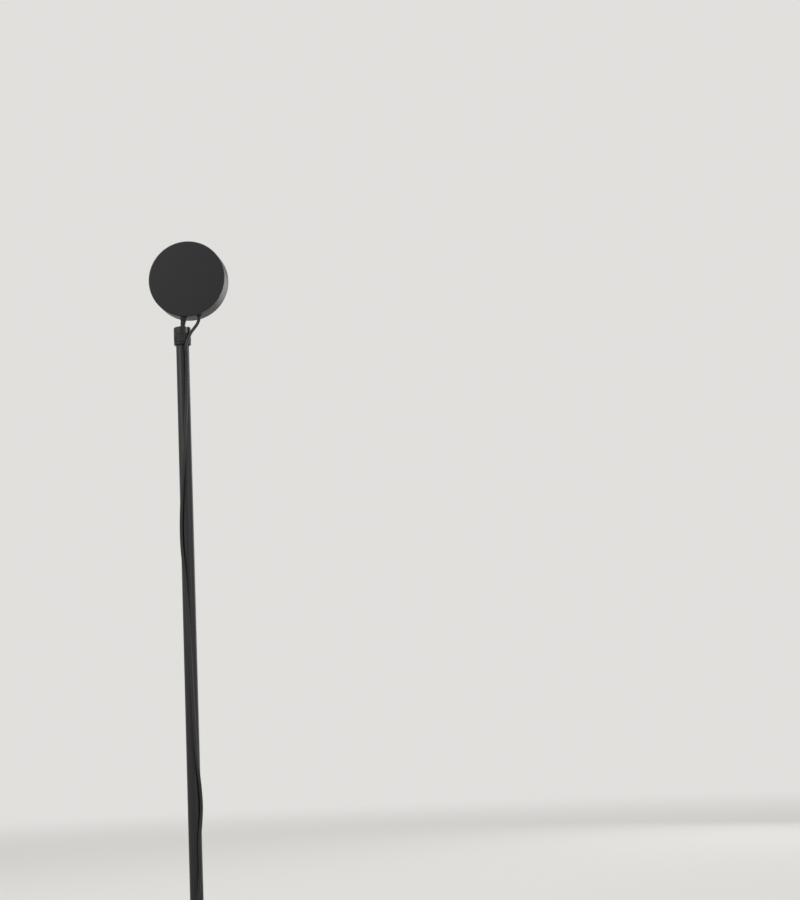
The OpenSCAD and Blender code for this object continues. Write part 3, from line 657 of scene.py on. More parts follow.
@once
def polished_chrome(chrome):
    """Ball: polished, with hair lines and a thin film of grease"""
    point = chrome.place(ball_frame())
    hairs = chrome.noise(chrome.place(ball_frame(), stretch=(1, 1, 0.03)), 0.004, detail=4.0)
    film = chrome.noise(point, 0.0035, detail=3.0)
    tone = chrome.mix(film, (0.60, 0.61, 0.63), (0.74, 0.74, 0.75))
    gloss = 0.07 + 0.10 * chrome.step(film, 0.5, 0.75) + 0.03 * hairs
    return chrome.bare_metal(tone, gloss, hairs, 0.000004, 0.4)


@once
def zinc_plate(zinc):
    """Screws, washers and crimps: zinc with a faint cloudy passivation"""
    point = zinc.place()
    cloud = zinc.noise(point, 0.004, detail=4.0)
    grain = zinc.noise(point, 0.0004, detail=3.0)
    tone = zinc.mix(cloud, (0.42, 0.43, 0.46), (0.60, 0.58, 0.52))
    gloss = 0.30 + 0.18 * (cloud - 0.5) + 0.10 * (grain - 0.5)
    return zinc.bare_metal(tone, gloss, grain, 0.00001)


@once
def bright_aluminium(metal):
    """Reflector and heat spreader: spun aluminium"""
    point = metal.place(beam_frame())
    rings = metal.lines(metal.off_axis(point), 0.00025, 2.0)
    cloud = metal.noise(point, 0.012)
    tone = metal.mix(cloud, (0.72, 0.73, 0.75), (0.82, 0.82, 0.83))
    gloss = 0.20 + 0.10 * (rings - 0.5) + 0.08 * (cloud - 0.5)
    return metal.bare_metal(tone, gloss, rings, 0.00001)


@once
def cast_iron(iron):
    """Weight in the base: rough grey casting"""
    point = iron.place()
    pits = iron.noise(point, 0.0025, detail=5.0, roughness=0.65)
    rust = iron.step(iron.noise(point, 0.02, detail=5.0, offset=2.2), 0.56, 0.72)
    tone = iron.mix(pits, (0.045, 0.046, 0.05), (0.11, 0.11, 0.115))
    tone = iron.mix(rust * 0.6, tone, (0.13, 0.06, 0.03))
    return iron.done(
        Base_Color=tone,
        Metallic=0.6 - 0.5 * rust,
        Roughness=0.62 + 0.2 * (pits - 0.5),
        Normal=iron.bump(pits, 0.0003, 0.8),
    )


@once
def lens_glass(glass):
    """Front lens: polished dome with a ground edge"""
    point = glass.place(beam_frame())
    flat_from = bpy.context.scene.lamp_head.lens_diameter / 2 - 0.0026
    ground = glass.step(glass.off_axis(point), flat_from, flat_from + 0.0003)
    frost = glass.noise(point, 0.0003, detail=3.0)
    smudge = glass.step(glass.noise(point, 0.011, detail=5.0, offset=4.0), 0.58, 0.74)
    gloss = 0.012 + 0.05 * smudge + ground * (0.35 + 0.1 * frost)
    return glass.done(
        Base_Color=glass.mix(ground, (0.985, 0.995, 1.0), (0.80, 0.84, 0.85)),
        Roughness=gloss,
        Transmission_Weight=1.0,
        IOR=1.5,
    )


@once
def dyed_glass(glass):
    """Filter: glass dyed amber at its middle and deep red at its rim, with a painted glow in the same
    colours that stands in for being lit from behind
    """
    point = glass.place(beam_frame())
    radius = glass.off_axis(point)
    ripple = glass.noise(point, 0.006, detail=3.0)
    spread = glass.step(radius + 0.0015 * (ripple - 0.5), 0.002, 0.027)
    colours = glass.colours
    middle, rim = tuple(colours.sunset_middle), tuple(colours.sunset_rim)
    between = tuple((a + b) / 2 for a, b in zip(middle, rim))
    stops = [(0.0, middle), (0.55, between), (1.0, rim)]
    tone = glass.add("ShaderNodeValToRGB", {"stops": stops}, {"Fac": spread}, "Color")
    return glass.done(
        Base_Color=tone,
        Roughness=0.10 + 0.06 * ripple,
        Transmission_Weight=0.45,
        IOR=1.46,
        # Painted glow: the emission in the dye's colours stands in for the light shining through the
        # filter from behind.
        Emission_Color=tone,
        Emission_Strength=0.3,
        Normal=glass.bump(ripple, 0.00005, 0.4),
    )


@once
def cord_jacket(jacket):
    """Cord: soft black jacket with faint die lines along it, scuffs and a dull bloom"""
    die = jacket.noise(jacket.along((0.05, 6.0, 1)), 1.0, detail=3.0)
    point = jacket.along((0.5, 0.012, 1))
    bloom = jacket.noise(point, 1.0, detail=4.0)
    patches = jacket.noise(jacket.along((0.3, 0.004, 1)), 1.0, detail=3.0, offset=5.0)
    scuff = jacket.step(patches, 0.62, 0.74)
    colour = jacket.colours.cord
    tone = jacket.mix(bloom, shade(colour, 0.8), shade(colour, 1.5))
    tone = jacket.mix(scuff * 0.3, tone, shade(colour, 3.0))
    gloss = 0.44 + 0.14 * (bloom - 0.5) + 0.10 * scuff + 0.06 * (die - 0.5)
    return jacket.done(
        Base_Color=tone, Roughness=gloss, Normal=jacket.bump(die, 0.00003, 0.6), Specular_IOR_Level=0.42
    )


@once
def soft_rubber(rubber):
    """Sleeves, grommet and gasket: matte rubber with a fine grain"""
    point = rubber.place()
    grain = rubber.noise(point, 0.0005, detail=3.0)
    bloom = rubber.noise(point, 0.006, detail=4.0)
    colour = rubber.colours.moulding
    tone = rubber.mix(bloom, shade(colour, 0.75), shade(colour, 1.4))
    gloss = 0.66 + 0.14 * (bloom - 0.5) + 0.08 * (grain - 0.5)
    return rubber.done(
        Base_Color=tone, Roughness=gloss, Normal=rubber.bump(grain, 0.00003, 0.6), Specular_IOR_Level=0.35
    )


@once
def moulded_plastic(plastic):
    """Switch and plug: spark-eroded mould texture, rubbed a little smoother in patches"""
    point = plastic.place()
    spark = plastic.cells(point, 0.00055)
    fine = plastic.noise(point, 0.0003, detail=2.0)
    rub = plastic.step(plastic.noise(point, 0.009, detail=4.0), 0.52, 0.70)
    colour = plastic.colours.moulding
    tone = plastic.mix(rub, colour, shade(colour, 1.5))
    tone = plastic.mix(spark * 0.4, tone, shade(colour, 1.8))
    gloss = 0.52 - 0.10 * rub + 0.10 * (fine - 0.5)
    return plastic.done(
        Base_Color=tone, Roughness=gloss, Normal=plastic.bump(spark, 0.00004, 0.7), Specular_IOR_Level=0.42
    )


@once
def button_plastic(plastic):
    """Button: smooth plastic with finger marks"""
    point = plastic.place()
    marks = plastic.noise(plastic.place(stretch=(1, 0.25, 1)), 0.0022, detail=5.0)
    touch = plastic.step(plastic.noise(point, 0.005, detail=3.0, offset=2.0), 0.45, 0.65)
    colour = plastic.colours.moulding
    tone = plastic.mix(marks, shade(colour, 1.6), shade(colour, 2.2))
    gloss = 0.34 + 0.16 * touch * marks
    return plastic.done(Base_Color=tone, Roughness=gloss, Normal=plastic.bump(marks, 0.000006, 0.4))


@once
def white_plastic(plastic):
    """Plug tongue, LED board and nylon cup: warm white with a soft sheen"""
    point = plastic.place()
    cloud = plastic.noise(point, 0.003, detail=4.0)
    tone = plastic.mix(cloud, (0.70, 0.69, 0.64), (0.82, 0.81, 0.77))
    return plastic.done(
        Base_Color=tone, Roughness=0.42 + 0.12 * (cloud - 0.5), Normal=plastic.bump(cloud, 0.00001, 0.4)
    )


@once
def green_board(board):
    """Circuit board: solder mask over paler tracks"""
    point = board.place()
    tracks = board.step(board.cells(point, 0.0035, "DISTANCE_TO_EDGE"), 0.03, 0.07)
    cloud = board.noise(point, 0.002)
    mask = board.mix(cloud, (0.015, 0.11, 0.045), (0.02, 0.14, 0.06))
    tone = board.mix(tracks, (0.06, 0.26, 0.10), mask)
    return board.done(
        Base_Color=tone, Roughness=0.28 + 0.12 * cloud, Normal=board.bump(1 - tracks, 0.00003, 0.8)
    )


@once
def phosphor(chip):
    """Light source: yellow silicone over a grid of dies"""
    point = chip.place(beam_frame())
    grid = chip.cells(point, 0.0012, "DISTANCE_TO_EDGE")
    dots = chip.step(grid, 0.10, 0.30)
    haze = chip.noise(point, 0.0015)
    silicone = chip.mix(haze, (0.88, 0.56, 0.07), (0.95, 0.66, 0.10))
    tone = chip.mix(dots, (0.95, 0.72, 0.16), silicone)
    return chip.done(Base_Color=tone, Roughness=0.22 + 0.1 * haze, Normal=chip.bump(dots, 0.00005, 0.6))


@once
def nickel_plate(nickel):
    """Plug shell: drawn steel with nickel, scratched along the way it slides"""
    way = nickel.place(table_frame(*PLUG_PLACE), stretch=(12, 1, 1))
    drawn = nickel.noise(way, 0.0003, detail=3.0)
    scratch = nickel.step(nickel.noise(way, 0.0009, detail=4.0, offset=2.0), 0.62, 0.70)
    cloud = nickel.noise(nickel.place(), 0.004)
    tone = nickel.mix(cloud, (0.56, 0.55, 0.53), (0.68, 0.67, 0.65))
    gloss = 0.22 + 0.10 * (drawn - 0.5) + 0.14 * scratch
    return nickel.bare_metal(tone, gloss, drawn, 0.00001)


@once
def gold_plate(gold):
    """Plug contacts: thin gold with wiping marks"""
    point = gold.place(table_frame(*PLUG_PLACE), stretch=(10, 1, 1))
    wipe = gold.noise(point, 0.0003, detail=3.0)
    tone = gold.mix(wipe, (0.72, 0.50, 0.18), (0.88, 0.66, 0.28))
    return gold.done(Base_Color=tone, Metallic=1.0, Roughness=0.2 + 0.15 * wipe)


@once
def foam_pad(foam):
    """Foot pad: closed-cell foam rubber"""
    point = foam.place()
    pores = foam.cells(point, 0.0008)
    dirt = foam.noise(point, 0.02, detail=5.0)
    tone = foam.mix(dirt, (0.012, 0.012, 0.012), (0.03, 0.029, 0.027))
    tone = foam.mix(foam.step(pores, 0.1, 0.5) * 0.5, tone, (0.045, 0.044, 0.042))
    return foam.done(
        Base_Color=tone, Roughness=0.86 + 0.08 * (dirt - 0.5), Normal=foam.bump(pores, 0.00012, 0.9)
    )


# ---------------------------------------------------------------- trees for what repeats


def new_tree(name, sizes):
    """An empty tree with named inputs, and its input and output nodes."""
    tree = bpy.data.node_groups.new(name, "GeometryNodeTree")
    tree.interface.new_socket("Geometry", in_out="INPUT", socket_type="NodeSocketGeometry")
    for label, kind in {**sizes, "Finish": "Material"}.items():
        tree.interface.new_socket(label, in_out="INPUT", socket_type=f"NodeSocket{kind}")
    tree.interface.new_socket("Geometry", in_out="OUTPUT", socket_type="NodeSocketGeometry")
    sheet = Sheet(tree)
    given = tree.nodes.new("NodeGroupInput")
    return sheet, {socket.name: Term(sheet, socket) for socket in given.outputs if socket.name}


def close_tree(sheet, given, copies):
    """Joins the copies to the given mesh as real faces with one finish."""
    join = sheet.tree.nodes.new("GeometryNodeJoinGeometry")
    for term in (given["Geometry"], copies):
        sheet.tree.links.new(term.socket, join.inputs[0])
    real = sheet.add("GeometryNodeRealizeInstances", None, {"Geometry": Term(sheet, join.outputs[0])})
    done = sheet.add("GeometryNodeSetMaterial", None, {"Geometry": real, "Material": given["Finish"]})
    sheet.tree.links.new(done.socket, sheet.tree.nodes.new("NodeGroupOutput").inputs[0])
    return sheet.tree


def ribs_round_tree():
    """Upright ribs at equal turns round the Z axis."""
    sizes = {"Ribs": "Int", "Radius": "Float", "Low": "Float", "Length": "Float", "Width": "Float"}
    sheet, given = new_tree("ribs round a ring", sizes)
    inputs = {"Vertices": given["Ribs"], "Radius": given["Radius"]}
    circle = sheet.add("GeometryNodeMeshCircle", None, inputs)
    turn = sheet.add("GeometryNodeInputIndex") * math.tau / given["Ribs"]
    rotation = sheet.add("ShaderNodeCombineXYZ", None, {"Z": turn})
    rib = sheet.add(
        "GeometryNodeMeshCylinder",
        {"fill_type": "TRIANGLE_FAN"},
        {"Vertices": 8, "Radius": given["Width"] / 2, "Depth": given["Length"]},
    )
    copies = sheet.add(
        "GeometryNodeInstanceOnPoints", None, {"Points": circle, "Instance": rib, "Rotation": rotation}
    )
    lift = sheet.add("ShaderNodeCombineXYZ", None, {"Z": given["Low"] + given["Length"] / 2})
    raised = sheet.add("GeometryNodeTransform", None, {"Geometry": copies, "Translation": lift})
    return close_tree(sheet, given, raised)


def row_along(sheet, given, count, height=0.0):
    """Points in a row along the X axis at the given start and pitch, at a height."""
    step = sheet.add("ShaderNodeCombineXYZ", None, {"X": given["Pitch"]})
    start = sheet.add("ShaderNodeCombineXYZ", None, {"X": given["Start"], "Z": height})
    inputs = {"Count": given[count], "Start Location": start, "Offset": step}
    return sheet.add("GeometryNodeMeshLine", {"mode": "OFFSET"}, inputs)


def rings_along_tree():
    """Round rings in a row along the X axis, from one radius to another."""
    sizes = {
        "Rings": "Int", "Start": "Float", "Pitch": "Float", "First Radius": "Float",
        "Last Radius": "Float", "Thickness": "Float",
    }
    sheet, given = new_tree("rings along a sleeve", sizes)
    line = row_along(sheet, given, "Rings")
    share = sheet.add("GeometryNodeInputIndex") / (given["Rings"] - 1)
    radius = given["First Radius"] + share * (given["Last Radius"] - given["First Radius"])
    circle = sheet.add("GeometryNodeCurvePrimitiveCircle", None, {"Resolution": 32, "Radius": 1.0})
    line_points = sheet.add(
        "GeometryNodeInstanceOnPoints",
        None,
        {"Points": line, "Instance": circle, "Rotation": (0.0, math.radians(90), 0.0), "Scale": radius},
    )
    hoops = sheet.add("GeometryNodeRealizeInstances", None, {"Geometry": line_points})
    wire = sheet.add(
        "GeometryNodeCurvePrimitiveCircle", None, {"Resolution": 10, "Radius": given["Thickness"] / 2}
    )
    rings = sheet.add("GeometryNodeCurveToMesh", None, {"Curve": hoops, "Profile Curve": wire})
    return close_tree(sheet, given, rings)


def ridges_tree():
    """Low ridges in a row along the X axis, above and below."""
    sizes = {"Ridges": "Int", "Start": "Float", "Pitch": "Float", "Width": "Float", "Height": "Float"}
    sheet, given = new_tree("ridges on a grip", sizes)
    ridge = sheet.add(
        "GeometryNodeMeshCylinder",
        {"fill_type": "TRIANGLE_FAN"},
        {"Vertices": 12, "Radius": given["Pitch"] * 0.28, "Depth": given["Width"]},
    )
    sides = []
    for side in (1, -1):
        line = row_along(sheet, given, "Ridges", given["Height"] * side)
        inputs = {"Points": line, "Instance": ridge, "Rotation": (math.radians(90), 0.0, 0.0)}
        sides.append(sheet.add("GeometryNodeInstanceOnPoints", None, inputs))
    both = sheet.tree.nodes.new("GeometryNodeJoinGeometry")
    for term in sides:
        sheet.tree.links.new(term.socket, both.inputs[0])
    return close_tree(sheet, given, Term(sheet, both.outputs[0]))


def grown(piece, tree, sizes, finish, place=Matrix()):
    """Runs a tree on a piece in its sub-part's frame, and puts the plain result in its place."""
    modifier = piece.modifiers.new(tree.name, "NODES")
    modifier.node_group = tree
    values = {**sizes, "Finish": finish}
    for socket in tree.interface.items_tree:
        if socket.in_out == "INPUT" and socket.name in values:
            modifier[socket.identifier] = values[socket.name]
    baked(piece)
    piece.data.transform(place)
    return piece


# ---------------------------------------------------------------- the cord's route

# Round the socket to the pole's back: places from the ball's centre, in metres
ROUND_THE_SOCKET = [
    (0.0158, 0.0008, 0.0066),
    (0.0131, -0.0015, 0.0020),
    (0.0107, -0.0037, -0.0020),
    (0.0091, -0.0061, -0.0060),
    (0.0076, -0.0079, -0.0103),
    (0.0063, -0.0089, -0.0147),
    (0.0056, -0.0091, -0.0188),
    (0.0055, -0.0084, -0.0238),
]
JUMPER_END = (0.0055, -0.0074, -0.0310)

# Down the pole: height above the table in metres, and turn from its back to the right in degrees
DOWN_THE_POLE = [
    (0.604, 37), (0.578, 30), (0.548, 17), (0.517, 2), (0.492, -11), (0.472, -22), (0.455, -30),
    (0.446, -33), (0.437, -34), (0.428, -33), (0.419, -30), (0.409, -24), (0.397, -16),
    (0.372, -5), (0.342, 5), (0.307, 13), (0.273, 20), (0.243, 26), (0.219, 32), (0.204, 39),
    (0.190, 50), (0.174, 62), (0.159, 67), (0.143, 56), (0.130, 44), (0.117, 40), (0.103, 42),
    (0.088, 36), (0.074, 26),
]
POLE_GAP = 0.00015  # between the cord and the pole, in metres
FREE_HEIGHT = 0.400  # height above the table below which the cord stays when the head turns

# Over the base and its rim, down to the table, in metres
OVER_THE_BASE = [
    (0.0018, -0.0090, 0.0560), (0.0026, -0.0102, 0.0450), (0.0046, -0.0137, 0.0340),
    (0.0084, -0.0184, 0.0250), (0.0130, -0.0240, 0.0196), (0.0186, -0.0306, 0.0172),
    (0.0244, -0.0382, 0.0168), (0.0294, -0.0466, 0.0168), (0.0334, -0.0554, 0.0168),
    (0.0370, -0.0640, 0.0168), (0.0406, -0.0720, 0.0168), (0.0444, -0.0794, 0.0164),
    (0.0480, -0.0856, 0.0140), (0.0510, -0.0904, 0.0096), (0.0536, -0.0944, 0.0050),
    (0.0560, -0.0980, 0.0023), (0.0584, -0.1016, 0.00175),
]

# The coil, in metres: it winds to the left
COIL_START = (0.063, -0.109)
COIL_HEADING = -60  # in degrees, at its start
COIL_DIAMETER = 0.038  # halfway between its inner and its outer turn
COIL_GAP = 0.00055  # between neighbouring turns
COIL_STEPS = 24  # places in each turn
TABLE_GAP = 0.0001  # between the cord and the table

# From the coil to the switch, and from the switch to the plug, in metres
TO_THE_SWITCH = [
    (0.1040, -0.0745, 0.0055), (0.1034, -0.0715, 0.0049), (0.1033, -0.0683, 0.0040),
    (0.1036, -0.0648, 0.0029), (0.1042, -0.0605, 0.0020), (0.1048, -0.0560, 0.00175),
    (0.1050, -0.0515, 0.0023), (0.1050, -0.0465, 0.0035),
]
TO_THE_PLUG = [
    (0.1050, 0.0410, 0.0038), (0.1050, 0.0460, 0.0026), (0.1056, 0.0520, 0.00175),
    (0.1084, 0.0576, 0.00175), (0.1136, 0.0624, 0.00175), (0.1206, 0.0644, 0.00175),
    (0.1276, 0.0628, 0.00175), (0.1330, 0.0580, 0.00175), (0.1360, 0.0514, 0.00175),
    (0.1370, 0.0440, 0.00175), (0.1370, 0.0370, 0.00175), (0.1370, 0.0305, 0.0025),
    (0.1370, 0.0250, 0.0038),
]


def flowing(points, step=0.0016):
    """A smooth line through the points, with places about a step apart."""
    points = [Vector(p) for p in points]
    ends = [2 * points[0] - points[1], *points, 2 * points[-1] - points[-2]]
    fine = []
    for a, b, c, d in zip(ends, ends[1:], ends[2:], ends[3:]):
        knots = [0.0]
        for before, after in ((a, b), (b, c), (c, d)):
            knots.append(knots[-1] + max((after - before).length, 1e-6) ** 0.5)
        count = max(1, round((c - b).length / step))
        for k in range(count):
            t = knots[1] + (knots[2] - knots[1]) * k / count
            fine.append(through(t, knots, (a, b, c, d)))
    return [*fine, points[-1]]


def through(t, knots, points):
    """The place at t on a curve through four points at their knots."""
    row = list(points)
    for level in range(1, 4):
        row = [
            row[i].lerp(row[i + 1], (t - low) / (high - low))
            for i, (low, high) in enumerate(spans(knots, level))
        ]
    return row[0]


def spans(knots, level):
    """The stretch of knots that each pair of a level's points is mixed over."""
    if level == 1:
        return [(knots[0], knots[1]), (knots[1], knots[2]), (knots[2], knots[3])]
    if level == 2:
        return [(knots[0], knots[2]), (knots[1], knots[3])]
    return [(knots[1], knots[2])]


def coil_points():
    """The coil: in towards its middle on the table, then out again on top of those turns."""
    sizes = bpy.context.scene.lamp_cord
    pitch = sizes.diameter + COIL_GAP
    outer = COIL_DIAMETER / 2 + pitch * sizes.turns / 4
    first = math.radians(COIL_HEADING - 90)
    middle = Vector((*COIL_START, 0)) - outer * Vector((math.cos(first), math.sin(first), 0))
    floor = sizes.diameter / 2 + TABLE_GAP
    points = []
    for i in range(round(sizes.turns * COIL_STEPS) + 1):
        t = i / COIL_STEPS
        radius = outer - pitch * min(t, sizes.turns - t)
        climb = min(max(2 * t - sizes.turns + 0.5, 0), 1)
        a = first + math.tau * t
        height = floor + pitch * climb
        points.append(middle + Vector((radius * math.cos(a), radius * math.sin(a), height)))
    return points


def heading_way(degrees):
    """The way along the table at that heading."""
    return Vector((math.cos(math.radians(degrees)), math.sin(math.radians(degrees)), 0))


def cord_routes():
    """Three runs of the cord: head to jumper's end, on to the switch, and switch to plug."""
    sizes = bpy.context.scene.lamp_cord
    thick = sizes.diameter
    head = head_mm()
    wall = math.sqrt((head.diameter / 2) ** 2 - CORD_OFFSET**2)
    leave = head_frame() @ Vector((CORD_OFFSET * MM, 0, -(wall + GROMMET_PROUD) * MM))
    down = head_frame().to_3x3() @ Vector((0, 0, -1))
    end = BALL_CENTRE + Vector(JUMPER_END)
    jumper = [leave, leave + thick * down]
    jumper += [BALL_CENTRE + Vector(p) for p in ROUND_THE_SOCKET]
    jumper += [end + Vector((0, 0, thick)), end]

    reach = bpy.context.scene.lamp_stand.pole_diameter / 2 + thick / 2 + POLE_GAP
    turns = [(z, math.radians(turn)) for z, turn in DOWN_THE_POLE]
    pole = [Vector((reach * math.sin(a), -reach * math.cos(a), z)) for z, a in turns]
    coil = coil_points()
    coil_in, coil_out = heading_way(COIL_HEADING), heading_way(COIL_HEADING + 360 * sizes.turns)
    before_coil = [coil[0] - 2 * thick * coil_in, coil[0] - thick * coil_in]
    after_coil = [coil[-1] + thick * coil_out, coil[-1] + 2 * thick * coil_out]

    x, y, heading = SWITCH_PLACE
    half = sizes.switch_length / 2 + SWITCH_SLEEVE * MM
    entry = Vector((x, y, ENTRY_HEIGHT * MM))
    way = heading_way(heading)
    switch_in, switch_out = entry - half * way, entry + half * way
    drop = [end, end - Vector((0, 0, thick)), *pole, *OVER_THE_BASE, *before_coil, *coil, *after_coil]
    drop += [*TO_THE_SWITCH, switch_in - thick * way, switch_in]

    x, y, heading = PLUG_PLACE
    plug_in = Vector((x, y, ENTRY_HEIGHT * MM))
    lead = [switch_out, switch_out + thick * way, *TO_THE_PLUG]
    lead += [plug_in - thick * heading_way(heading), plug_in]
    return flowing(jumper), flowing(drop), flowing(lead)


def run_length(path):
    """Length of a run of the cord."""
    return distances(path)[-1]


# ---------------------------------------------------------------- pieces on the head


def housing_radius(depth):
    """Outer radius of the housing at a distance from its rear face, in millimetres."""
    head = head_mm()
    past_edge = min(depth - head.dome - head.edge, 0)
    return head.diameter / 2 - head.edge + math.sqrt(max(head.edge**2 - past_edge**2, 0))


def on_wall(name, offset, rings, segments=48):
    """A solid under the housing, round a line parallel to the stem at that offset.

    Each ring is (radius, drop, follow): its drop below the wall, and how far it follows the wall's
    curve, from 0 for a flat ring to 1."""
    head = head_mm()
    middle = math.sqrt((head.diameter / 2) ** 2 - offset**2)
    made = []
    for radius, drop, follow in rings:
        ring = []
        for k in range(segments):
            x, y = (radius * f(math.tau * k / segments) for f in (math.cos, math.sin))
            wall = math.sqrt(max(housing_radius(head.stem_back + y) ** 2 - (offset + x) ** 2, 0))
            z = -(follow * wall + (1 - follow) * middle + drop)
            ring.append(((offset + x) * MM, y * MM, z * MM))
        made.append(ring)
    stations = distances([(radius * MM, drop * MM) for radius, drop, _ in rings])
    return skin(name, made, stations, capped=True, place=head_frame())


def make_housing():
    """Cup of the head: a domed rear face, a rounded edge and a small step for the bezel's seam."""
    head = head_mm()
    outer, wall, floor, mouth, seam = head.diameter / 2, 2, 2.2, head.depth - LIP, 0.3
    flat = outer - head.edge
    dome_radius = (flat**2 + head.dome**2) / (2 * head.dome)
    span = math.degrees(math.asin(flat / dome_radius))
    section = arc((0, dome_radius), dome_radius, -90, -90 + span, 10)
    past_dome = 4  # degrees of the edge's rounding that the dome takes up
    section += arc((flat, head.dome + head.edge), head.edge, -90 + past_dome, 0, 10)
    section += [(outer, mouth - seam), (outer - seam, mouth)]
    section += eased([(outer - wall, mouth, 0), (outer - wall, floor, 0.8), (0, floor, 0)])
    housing = lathe("head_housing", section, beam_frame(), segments=160)
    return finished(housing, satin_coat(), "head", ["head_shell"])


def make_boss():
    """Boss under the head that takes the stem, with a cast fillet at its foot and a tapered end."""
    radius, tip, fillet, chamfer = 3.7, 2.9, 1.1, 0.3
    foot = arc((radius + fillet, fillet), fillet, -90, -180, 5)
    rings = [(radius + fillet, -0.4, 1), *((r, drop, 1) for r, drop in foot)]
    rings += [(radius, BOSS_LENGTH / 2, 0.3)]
    rings += [(tip, BOSS_LENGTH - chamfer, 0), (tip - chamfer, BOSS_LENGTH, 0), (0.5, BOSS_LENGTH, 0)]
    boss = on_wall("head_boss", 0, rings)
    return finished(boss, satin_coat(), "head")


def make_grommet():
    """Rubber grommet where the cord leaves the head: a flange on the wall and a ribbed neck."""
    flange, neck, tip = 3.5, 2.6, 2.25
    rings = [(flange - 0.1, -0.4, 1), (flange, 0.1, 1), (flange, 0.2, 1), (flange - 0.2, 0.35, 1)]
    rings += [(neck, 0.4, 0.9), (neck, 0.6, 0.4), (tip, 0.7, 0.2), (tip, 0.85, 0)]
    rings += [(tip + 0.1, 0.95, 0), (tip, GROMMET_PROUD - 0.1, 0), (tip - 0.2, GROMMET_PROUD, 0)]
    grommet = on_wall("cord_exit_grommet", CORD_OFFSET, rings)
    return finished(grommet, soft_rubber(), "head", ["cord_grommet"])


def make_bezel():
    """Front bezel: a chamfered rim, and a stepped cone that keeps stray light off the lens."""
    head = head_mm()
    outer, mouth, seat = head.diameter / 2, head.depth - LIP, head.depth - 2 * LIP
    hole, steps, tread, riser, seam = head.lens_diameter / 2 - 2, 5, 1, 0.6, 0.3
    skirt = outer - 2.05
    stairs = []
    for k in range(steps):
        r, z = hole + (steps - k) * tread, head.depth - k * riser
        stairs += [(r, z, 0.12), (r, z - riser, 0)]
    corners = [(skirt - 1.95, mouth - 8, 0), (skirt, mouth - 8, 0), (skirt, mouth, 0)]
    corners += [(outer - seam, mouth, 0), (outer, mouth + seam, 0), (outer, head.depth, 0.65)]
    corners += [*stairs, (hole, head.depth - steps * riser, 0), (hole, seat, 0)]
    corners += [(skirt - 1.95, seat, 0)]
    bezel = lathe("front_bezel", eased(corners, 4), beam_frame(), segments=160)
    return finished(bezel, satin_coat(), "head", ["front_ring"])


def make_lens():
    """Thick front lens: flat behind, domed in front, with a chamfered edge."""
    head = head_mm()
    radius, edge, flat, chamfer, gasket = head.lens_diameter / 2, 2, 2.5, 0.3, 1
    back = head.depth - 2 * LIP - edge - gasket
    dome = radius - flat
    sphere = (dome**2 + head.lens_rise**2) / (2 * head.lens_rise)
    span = math.degrees(math.asin(dome / sphere))
    top = back + edge + head.lens_rise
    section = [(0, back), (radius - chamfer, back), (radius, back + chamfer)]
    section += [(radius, back + edge - chamfer), (radius - chamfer, back + edge)]
    section += arc((0, top - sphere), sphere, 90 - span, 90, 16)
    lens = lathe("front_lens", section, beam_frame(), segments=128)
    return finished(lens, lens_glass(), "head", ["projection_lens"])


def make_filter():
    """Round colour filter behind the lens."""
    low, high = (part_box("filter_disc")[k].y for k in (0, 1))
    rear_face = beam_frame().translation.y
    radius, back, front, edge = 28.5, (low - rear_face) / MM, (high - rear_face) / MM, 0.25
    corners = [(0, back, 0), (radius, back, edge), (radius, front, edge), (0, front, 0)]
    disc = lathe("sunset_filter", eased(corners, 3), beam_frame(), segments=96)
    return finished(disc, dyed_glass(), "head", ["filter_disc"])


# ---------------------------------------------------------------- pieces of the ball joint


def make_stem():
    """Stem that widens a little towards the boss, above a shallow turned groove."""
    radius = joint_mm().stem_diameter / 2
    head = head_mm()
    shoulder, wide, neck, thread = head.rise - head.diameter / 2 - BOSS_LENGTH, 0.3, 0.15, 0.5
    corners = [(0, 1, 0), (radius, 1, 0), (radius, shoulder - 4.6, 0.1)]
    corners += [(radius - neck, shoulder - 4.5, 0), (radius - neck, shoulder - 4, 0)]
    corners += [(radius, shoulder - 3.9, 0.1), (radius + wide, shoulder - 0.3, 1.5)]
    corners += [(radius + wide, shoulder, 0.1), (radius - thread, shoulder, 0)]
    corners += [(radius - thread, shoulder + 8, 0), (0, shoulder + 8, 0)]
    stem = lathe("ball_stem", eased(corners, 2), ball_frame(), segments=40)
    return finished(stem, turned_steel(), "head", ["stem"])


def make_ball():
    """Ball at the stem's lower end."""
    radius = joint_mm().ball_diameter / 2
    ball = lathe("joint_ball", arc((0, 0), radius, -90, 90, 32), ball_frame(), segments=64)
    return finished(ball, polished_chrome(), "head", ["ball"], smooth=60)


